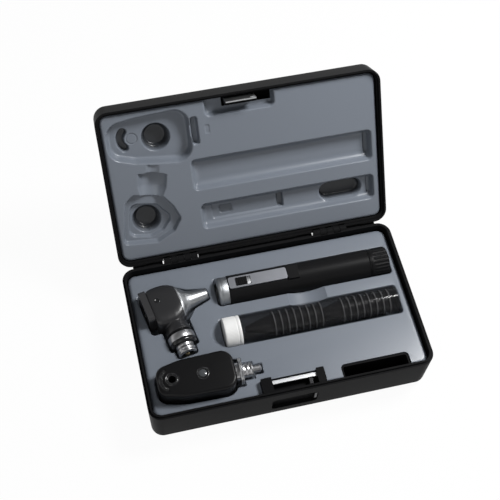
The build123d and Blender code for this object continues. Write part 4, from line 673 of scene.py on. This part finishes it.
def make_lid_liner():
    """z = surface + depth; outside the outline the points fall back to it and drop down as the skirt."""
    lines_x, lines_y = stepped(*LINES_X), stepped(*LINES_Y)
    x, y = np.meshgrid(lines_x, lines_y, indexing="ij")
    edge = off_the_plate(x, y)
    step = 0.01
    slope_x = (off_the_plate(x + step, y) - edge) / step
    slope_y = (off_the_plate(x, y + step) - edge) / step
    outside = np.maximum(edge, 0)
    x, y = x - outside * slope_x, y - outside * slope_y
    into_roll = np.maximum(EDGE_ROLL + np.minimum(edge, 0), 0)
    roll = EDGE_ROLL - np.sqrt(np.maximum(EDGE_ROLL ** 2 - into_roll ** 2, 0))
    depth = lid_depth(x, y)
    down = np.maximum(depth, np.where(outside > ON_SKIRT, SKIRT_DROP, roll))
    middle_x, middle_y = (lines_x[1:] + lines_x[:-1]) / 2, (lines_y[1:] + lines_y[:-1]) / 2
    hole = ((middle_x[:, None] > CATCH_HOLE[0]) & (middle_x[:, None] < CATCH_HOLE[1])
            & (middle_y[None] > CATCH_HOLE[2]) & (middle_y[None] < CATCH_HOLE[3]))
    nearest_in = np.minimum.reduce([edge[1:, 1:], edge[1:, :-1], edge[:-1, 1:], edge[:-1, :-1]])
    points = swung_open(np.stack([x, y, LID_LEVEL + down], axis=-1))
    sheet = grid_piece("lid_liner_sheet", points, LID_LINER, "lid", ["lid_liner"],
                       keep=~hole & (nearest_in <= PAST_SKIRT), limit=70)
    # the attribute "drawn" carries painted shade: it rises from 0 to 1 as the depth passes from 9.8 to 15.3 mm
    drawn = sheet.data.attributes.new("drawn", "FLOAT", "POINT")
    share = np.clip((depth - PAINTED_SHADE_FROM) / PAINTED_SHADE_OVER, 0, 1) * (outside < ON_SKIRT)
    drawn.data.foreach_set("value", share.ravel())


make_lid_liner()

# %% [markdown]
# ## Turned rings
#
# Collars, plugs and caps are lathe or moulded turnings. Each is a closed profile of points (along, radius)
# carried round its axis, with grooves and screw ridges drawn into the profile itself; a ripple round the
# axis gives the fine ribs of a grip.

# %% Turning helper
def turned_piece(name, profile, origin, axis, material, body, nodes=None, turns=128, ripple=None):
    """Point = origin + along * axis + radius * (cos a, sin a) across; a ripple is added to the radius."""
    axis = Vector(axis).normalized()
    side = axis.orthogonal().normalized()
    other = axis.cross(side)
    profile = np.array(profile, dtype=float)
    angle = np.linspace(0, 2 * pi, turns, endpoint=False)
    along, radius = profile[:, 0][:, None], profile[:, 1][:, None] * np.ones_like(angle)[None]
    if ripple is not None:
        radius = radius + ripple(along, angle[None])
    points = (np.array(origin) + along[..., None] * np.array(axis)
              + radius[..., None] * (np.cos(angle)[None, :, None] * np.array(side)
                                     + np.sin(angle)[None, :, None] * np.array(other)))
    stands_for = [name.removesuffix("_turned")] if nodes is None else nodes
    grid_piece(name, points, material, body, stands_for, rings=True, closed=True, limit=40)


def ridged(start, end, radius, depth, count, steps=8):
    """Profile of screw or grip ridges: radius less depth times (1 - cos) / 2 over count waves."""
    along = np.linspace(start, end, count * steps + 1)
    wave = (1 - np.cos(2 * pi * (along - start) / (end - start) * count)) / 2
    return list(zip(along, radius - depth * wave))


# %% Otoscope collar and plug
NECK_WAY = (sin(OTO_ANGLE), -cos(OTO_ANGLE), 0.0)
NECK_FROM = (OTO_PLACE[0], OTO_PLACE[1], OTO_Z)
collar = [(31.0, 8.75), (31.0, 11.9), (31.2, 12.2), (31.6, 12.4), (37.0, 12.4), (37.25, 12.25), (37.3, 11.9),
          (37.3, 8.75)]
turned_piece("otoscope_collar_turned", collar, NECK_FROM, NECK_WAY, COLLAR, "otoscope")
seat = [(37.35, 8.75), (37.35, 11.8), (38.2, 12.1), (39.6, 12.1), (40.6, 11.6), (41.3, 10.8), (41.5, 10.2),
        (41.5, 8.75)]
turned_piece("otoscope_collar_seat", seat, NECK_FROM, NECK_WAY, GLOSS_BLACK, "otoscope",
             nodes=[])
plug = ([(31.35, 6.2), (31.35, 8.6), (41.6, 8.6)] + ridged(42.0, 48.9, 8.6, 0.5, 2)
        + [(49.4, 8.4), (49.9, 7.8), (50.0, 7.4), (50.0, 6.2)])
turned_piece("otoscope_connector_turned", plug, NECK_FROM, NECK_WAY, CHROME, "otoscope")

# %% Ophthalmoscope flange and plug
ALONG_X, ALONG_Z = (1, 0, 0), (0, 0, 1)
OPH_Y = -44.7
OPH_FROM = (0.0, OPH_Y, 43.3)
flange = [(-44.4, 9.0), (-44.4, 12.0), (-44.3, 12.25), (-44.1, 12.3), (-43.2, 12.3), (-43.05, 12.1),
          (-43.0, 11.4), (-42.7, 11.4), (-42.65, 12.0), (-42.5, 12.2), (-41.8, 12.2), (-41.65, 12.0),
          (-41.6, 9.0)]
turned_piece("ophthalmoscope_flange_turned", flange, OPH_FROM, ALONG_X, STEEL, "ophthalmoscope")
stub = ([(-47.5, 3.8), (-47.5, 8.7), (-41.3, 8.7), (-41.0, 7.0)] + ridged(-40.6, -33.4, 7.0, 0.5, 2)
        + [(-32.6, 6.9), (-32.1, 6.3), (-32.05, 3.8)])
turned_piece("ophthalmoscope_connector_turned", stub, OPH_FROM, ALONG_X, CHROME, "ophthalmoscope")

# %% Handle neck ring
HANDLE_FROM = (0.0, 37.2, 40.7)
neck_ring = [(-45.9, 9.05), (-45.9, 11.6), (-45.6, 12.4), (-45.0, 13.2), (-44.2, 13.6), (-43.2, 13.6),
             (-42.5, 13.6), (-42.4, 13.2), (-41.9, 13.2), (-41.8, 13.6), (-36.3, 13.6), (-35.9, 13.3),
             (-35.8, 12.6), (-35.8, 9.05)]
turned_piece("neck_ring_turned", neck_ring, HANDLE_FROM, ALONG_X, SATIN, "handle")

# %% Tube cap
TUBE_FROM = (0.0, TUBE_Y, TUBE_Z)
CAP_R = 14.0
CAP_RIBS, CAP_RIB_DEPTH = 72, 0.09
cap = ([(-49.0, 0.02), (-49.0, 12.9), (-48.85, 13.5), (-48.5, 13.85), (-48.0, CAP_R), (-46.5, CAP_R)]
       + [(v, CAP_R) for v in np.linspace(-46.0, -38.0, 9)]
       + [(-37.4, CAP_R), (-37.1, 13.85), (-36.9, 13.6), (-36.6, 13.6), (-36.3, 13.85), (-36.0, CAP_R),
          (-33.8, CAP_R), (-33.5, 13.8), (-33.5, 13.28), (-46.7, 13.28), (-46.7, 0.02)])


def grip(along, angle):
    """Fine ribs round the cap: depth times (cos of CAP_RIBS waves, less 1), faded out at the skirt's ends."""
    fade = np.clip(along + 48.0, 0, 1) * np.clip((-37.4 - along) / 0.6, 0, 1)
    return -CAP_RIB_DEPTH * (1 - np.cos(CAP_RIBS * angle)) * fade


turned_piece("tube_cap_turned", cap, TUBE_FROM, ALONG_X, CAP_WHITE, "tube", turns=288,
             ripple=grip)

# %% [markdown]
# ## Otoscope head
#
# The head is one flowing form: a flat-faced barrel narrows into a round metal cone. Its sections are
# superellipses, which are nearly rectangular where the exponent is high and round where it is two, so that
# one formula runs from the barrel to the tip. The neck is a turned cone that grows out of the barrel. A
# voxel remesh unites the two, and smoothing fillets the corner between them as the moulding does.

# %% Head sections
HEAD_U = [-15.9, -15.6, -15.0, -13.5, -11.0, -5.0, 2.0, 7.0, 10.5, 12.5, 14.5, 17.0, 20.0, 24.0, 30.0, 37.2, 37.9]
HEAD_H = [16.8, 17.8, 18.4, 19.2, 20.0, 20.3, 19.9, 18.4, 16.4, 14.5, 12.2, 10.2, 8.7, 7.7, 6.5, 5.2, 4.8]
HEAD_T = [12.2, 12.7, 12.9, 13.0, 13.0, 13.0, 13.0, 13.0, 12.9, 12.5, 11.5, 10.0, 8.7, 7.7, 6.5, 5.2, 4.8]
HEAD_N = [5.0, 5.0, 5.0, 5.0, 5.0, 5.0, 4.6, 3.8, 3.2, 2.7, 2.3, 2.1, 2.0, 2.0, 2.0, 2.0, 2.0]
NECK_DOWN, NECK_R = [4, 13, 18, 22, 26, 28.5], [9.0, 9.6, 9.9, 10.5, 11.4, 11.9]


def oto_points(u, v, w):
    """Places points given along the nose, across it and upwards in the case's frame."""
    return np.stack([OTO_PLACE[0] + u * cos(OTO_ANGLE) - v * sin(OTO_ANGLE),
                     OTO_PLACE[1] + u * sin(OTO_ANGLE) + v * cos(OTO_ANGLE), OTO_Z + w], axis=-1)


def head_rings(u, grow=0.0, turns=144):
    """Ring at each u: the half-height and half-thickness times |cos a| and |sin a| to the power 2 / n."""
    angle = np.linspace(0, 2 * pi, turns, endpoint=False)[None]
    height, thick, power = (np.interp(u, HEAD_U, table)[:, None] for table in (HEAD_H, HEAD_T, HEAD_N))
    across = (height + grow) * np.sign(np.cos(angle)) * np.abs(np.cos(angle)) ** (2 / power)
    upward = (thick + grow) * np.sign(np.sin(angle)) * np.abs(np.sin(angle)) ** (2 / power)
    return oto_points(u[:, None] + 0 * angle, across, upward)


def capped(rings):
    """Closes a tube of rings at both ends with a ring shrunk to the end's centre."""
    first, last = rings[:1].mean(axis=1, keepdims=True), rings[-1:].mean(axis=1, keepdims=True)
    tiny = 1e-4
    return np.concatenate([first + tiny * (rings[:1] - first), rings, last + tiny * (rings[-1:] - last)])


# %% Otoscope body
def make_otoscope_body():
    """Barrel and neck as two closed tubes in one mesh, united by a voxel remesh and smoothed."""
    sections = np.concatenate([np.linspace(-15.9, -14.5, 8), np.linspace(-14, 10.6, 42)])
    barrel = grid_piece("otoscope_body_moulded", capped(head_rings(sections))[::-1], OTO_SKIN, "otoscope",
                        ["otoscope_body"], rings=True)
    down = np.linspace(4.0, 28.5, 40)[:, None]
    radius = np.interp(down, NECK_DOWN, NECK_R)
    angle = np.linspace(0, 2 * pi, 96, endpoint=False)[None]
    neck = capped(oto_points(radius * np.cos(angle), -down + 0 * angle, radius * np.sin(angle)))
    part = bpy.data.meshes.new("neck")
    quads = grid_quads(*neck.shape[:2], rings=True, closed=False)[..., [0, 3, 2, 1]]
    part.from_pydata((neck.reshape(-1, 3) * MM).tolist(), [], quads.reshape(-1, 4).tolist())
    both = bmesh.new()
    both.from_mesh(barrel.data)
    both.from_mesh(part)
    bmesh.ops.remove_doubles(both, verts=both.verts, dist=WELD)
    bmesh.ops.recalc_face_normals(both, faces=both.faces)
    both.to_mesh(barrel.data)
    both.free()
    remesh = barrel.modifiers.new("unite", "REMESH")
    remesh.mode = "VOXEL"
    remesh.voxel_size = 0.00045
    remesh.use_smooth_shade = True
    soften = barrel.modifiers.new("soften", "SMOOTH")
    soften.factor = 0.5
    soften.iterations = 7


make_otoscope_body()

# %% Otoscope nose and port
MOUTH_U = np.array([38.05, 38.05, 37.8, 36.0, 31.0, 31.0])[:, None]     # the lip and the bore behind it
MOUTH_R = np.array([4.5, 4.1, 3.7, 3.6, 3.5, 0.01])[:, None]


def make_nose():
    """Metal cone over the head's narrow end: two rings draw its edge in, then the sections and the mouth."""
    sections = np.concatenate([[10.4, 10.45], np.linspace(10.7, 37.9, 60)])
    nose = head_rings(sections, grow=0.12)
    nose[0] = head_rings(sections[:1], grow=-0.9)[0]
    nose[1] = head_rings(sections[1:2], grow=-0.05)[0]
    angle = np.linspace(0, 2 * pi, 144, endpoint=False)[None]
    mouth = oto_points(MOUTH_U + 0 * angle, MOUTH_R * np.cos(angle), MOUTH_R * np.sin(angle))
    grid_piece("otoscope_nose_cone", np.concatenate([nose, mouth])[::-1], CONE, "otoscope", ["otoscope_nose"],
               rings=True, closed=True, limit=50)


make_nose()
port = [(13.06, 0.01), (13.06, 1.5), (13.2, 1.75), (13.32, 2.05), (13.3, 2.35), (13.1, 2.6), (12.7, 2.6),
        (12.7, 0.01)]
port_at = oto_points(-8.7, 4.0, 0.0)
turned_piece("otoscope_port_ring", port, port_at, ALONG_Z, GLOSS_BLACK, "otoscope",
             nodes=[], turns=64)

# %% [markdown]
# ## Ophthalmoscope head
#
# Two turned rings edge the sight hole and the lamp's window, which bulges as a shallow lens.

# %% Sight hole and window
SIGHT_X, WINDOW_X = -103.7, -76.5
DOME_R, DOME_RISE = 3.4, 0.7

sight = [(56.6, 3.25), (57.7, 3.3), (58.1, 3.5), (58.3, 3.9), (58.25, 4.4), (57.9, 4.7), (57.85, 5.0),
         (58.1, 5.3), (58.15, 5.8), (57.9, 6.15), (57.4, 6.2), (57.4, 4.3), (56.6, 4.3)]
turned_piece("sight_bezel_turned", sight, (SIGHT_X, OPH_Y, 0.0), ALONG_Z, GLOSS_BLACK, "ophthalmoscope")
ring = [(56.0, 3.45), (57.6, 3.5), (57.7, 4.3), (58.2, 4.6), (58.45, 5.1), (58.3, 5.6), (57.95, 5.9),
        (57.5, 6.0), (57.4, 5.3), (56.0, 5.3)]
turned_piece("window_ring_turned", ring, (WINDOW_X, OPH_Y, 0.0), ALONG_Z, GLOSS_BLACK, "ophthalmoscope")
dome = [(57.75 + DOME_RISE * (1 - (r / DOME_R) ** 2), r) for r in (3.4, 3.1, 2.7, 2.2, 1.7, 1.2, 0.6, 0.01)]
dome += [(57.0, 0.01), (57.0, DOME_R)]
turned_piece("window_glass_turned", dome[::-1], (WINDOW_X, OPH_Y, 0.0), ALONG_Z, WINDOW, "ophthalmoscope")

# %% [markdown]
# ## Nested specula
#
# The specula stack like paper cups, so that only the first shows its whole cone and the rest show their rims
# at an even pitch. Each stack is one turned outline with as many rims as it has specula.

# %% Two stacks in the tube
RIM_R = 11.6


def nest(name, first, count, node, pitch=6.3):
    """Outline of nested specula turned about the tube's axis: one long cone, then a rim at every pitch."""
    outline = [(first - 27.0, 0.02), (first - 27.0, 2.4), (first - 5.6, 8.6), (first - 1.2, 9.3)]
    for rim in first + pitch * np.arange(count):
        outline += [(rim - 1.2, 9.4), (rim - 1.2, 11.45), (rim - 1.05, RIM_R), (rim - 0.15, RIM_R),
                    (rim, 11.45), (rim, 9.4)]
    last = first + pitch * (count - 1)
    outline = outline[:-1] + [(last, 10.6), (last - 1.4, 8.8), (last - 6.0, 7.6), (last - 24.0, 1.6),
                              (last - 24.0, 0.02)]
    turned_piece(name, outline, TUBE_FROM, ALONG_X, SPECULUM, "tube", nodes=[node])


nest("specula_nest_1", -2.0, 8, "specula_stack_1")
nest("specula_nest_2", 62.0, 8, "specula_stack_2")

# %% [markdown]
# ## Guard of the lens wheel
#
# Beside the sight hole a crescent with fine ribs guards the edge of the lens wheel.

# %% Ribbed guard of the lens wheel
GUARD_R, GUARD_Z = 10.1, 57.45


def make_wheel_guard():
    """Crescent about the sight hole: an oval section swept through an arc, its height ribbed as 1 - cos 90a."""
    sweep = np.linspace(radians(118), radians(242), 121)[:, None]
    section = np.linspace(0, 2 * pi, 32, endpoint=False)[None]
    ribs = 0.16 * (1 - np.cos(90 * sweep)) * np.clip(np.sin(section), 0, 1)
    reach = GUARD_R + 1.7 * np.cos(section) + 0 * sweep
    level = GUARD_Z + 0.7 * np.sin(section) - ribs
    points = np.stack([SIGHT_X + reach * np.cos(sweep), OPH_Y + reach * np.sin(sweep), level], axis=-1)
    grid_piece("ophthalmoscope_wheel_guard", capped(points), GLOSS_BLACK, "ophthalmoscope", [],
               rings=True)


make_wheel_guard()

# %% [markdown]
# ## Screw cap of the handle
#
# The cap is a turned cup with a smooth band at its open end. Its grip is a ripple of the radius round the
# axis, squared so that narrow ribs stand between wide flutes.

# %% Ribbed screw cap
SCREW_RIBS, SCREW_RIB_DEPTH = 26, 0.55


def cap_ribs(along, angle):
    """Ribs: (0.5 + 0.5 cos 26a) squared, less 0.6, faded in after the smooth band and out before the end."""
    fade = np.clip((along - 102.6) / 1.2, 0, 1) * np.clip((117.0 - along) / 0.8, 0, 1) * (along < 117.2)
    return SCREW_RIB_DEPTH * ((0.5 + 0.5 * np.cos(SCREW_RIBS * angle)) ** 2 - 0.6) * fade


screw_cap = ([(98.35, 11.2), (98.35, 13.3), (98.6, 13.5), (99.6, 13.5), (99.7, 13.1), (100.2, 13.1),
              (100.3, 13.5), (101.6, 13.5)]
             + [(v, 13.45) for v in np.linspace(102.2, 115.6, 16)]
             + [(116.4, 13.2), (117.0, 12.6), (117.4, 11.6), (117.5, 10.6), (117.5, 0.01), (116.6, 0.01),
                (116.6, 11.2)])
turned_piece("end_cap_turned", screw_cap, HANDLE_FROM, ALONG_X, HANDLE_SKIN, "handle_cap",
             turns=352, ripple=cap_ribs)

# %% [markdown]
# ## Stage and light
#
# The case stands on a plain white floor in a soft studio: the surroundings are white near the floor and
# turn to a dim grey overhead, so that chrome shows both. One large panel lights the case from above and
# from the right, and a weaker one fills from the front.

# %% Floor
FLOOR_REACH = 6.0
FLOOR_GLOW = 0.96       # share of plain white in the floor where it is seen


def seen_directly(tree):
    """1 for a ray that shows the background: from the camera, off a gloss or through glass; else 0."""
    path = tree.nodes.new("ShaderNodeLightPath")
    either = maths(tree, "MAXIMUM", path.outputs["Is Camera Ray"], path.outputs["Is Glossy Ray"])
    return maths(tree, "MAXIMUM", either, path.outputs["Is Transmission Ray"])


def make_floor():
    """A wide square at height zero; the rays that show it see mostly its own white."""
    mesh = bpy.data.meshes.new("floor")
    far = FLOOR_REACH
    mesh.from_pydata([(-far, -far, 0), (far, -far, 0), (far, far, 0), (-far, far, 0)], [], [(0, 1, 2, 3)])
    floor = new_object("floor", mesh)
    material, tree = new_material("floor_white")[:2]
    tree.nodes.clear()
    output = tree.nodes.new("ShaderNodeOutputMaterial")
    matt = add_node(tree, "ShaderNodeBsdfDiffuse", {"Color": (0.86, 0.86, 0.86, 1)})
    glow = add_node(tree, "ShaderNodeEmission", {"Color": (1, 1, 1, 1), "Strength": 1.0})
    seen = maths(tree, "MULTIPLY", seen_directly(tree), FLOOR_GLOW)
    mix = add_node(tree, "ShaderNodeMixShader", {}, {0: seen, 1: matt.outputs[0], 2: glow.outputs[0]})
    tree.links.new(mix.outputs[0], output.inputs["Surface"])
    mesh.materials.append(material)
    print("floor", 2 * far, "m across")


make_floor()

# %% World
def make_world():
    """Strength falls smoothly with height for rays that show it, is low for diffuse light, 1 for the camera."""
    world = bpy.data.worlds.new("studio")
    bpy.context.scene.world = world
    world.use_nodes = True
    tree = world.node_tree
    background = tree.nodes["Background"]
    toward = add_node(tree, "ShaderNodeTexCoord").outputs["Generated"]
    height = add_node(tree, "ShaderNodeSeparateXYZ", {}, {0: toward}).outputs["Z"]
    dimmed = add_node(tree, "ShaderNodeMapRange",
                      {"From Min": 0.0, "From Max": 0.6, "To Min": 1.0, "To Max": 0.14},
                      {"Value": height}, interpolation_type="SMOOTHSTEP")
    shown = add_node(tree, "ShaderNodeMix", {2: 0.20}, {0: seen_directly(tree), 3: dimmed.outputs[0]},
                     data_type="FLOAT")
    camera_ray = tree.nodes.new("ShaderNodeLightPath").outputs["Is Camera Ray"]
    level = add_node(tree, "ShaderNodeMix", {3: 1.0}, {0: camera_ray, 2: shown.outputs[0]}, data_type="FLOAT")
    tree.links.new(level.outputs[0], background.inputs["Strength"])
    background.inputs["Color"].default_value = (1, 1, 1, 1)
    print("world", world.name)


make_world()

# %% Lamps
def panel(name, place, target, size, power):
    """A square area lamp at a place, turned to face a target."""
    lamp = bpy.data.lights.new(name, "AREA")
    lamp.size = size
    lamp.energy = power
    stand = new_object(name, lamp)
    stand.location = place
    stand.rotation_euler = (Vector(target) - Vector(place)).to_track_quat("-Z", "Y").to_euler()
    print(name, power, "W")


panel("key_panel", (0.50, 0.12, 0.84), (0.0, 0.03, 0.05), 0.24, 9.5)
panel("fill_panel", (-0.55, -0.75, 0.95), (0, 0.0, 0.05), 0.8, 2.0)
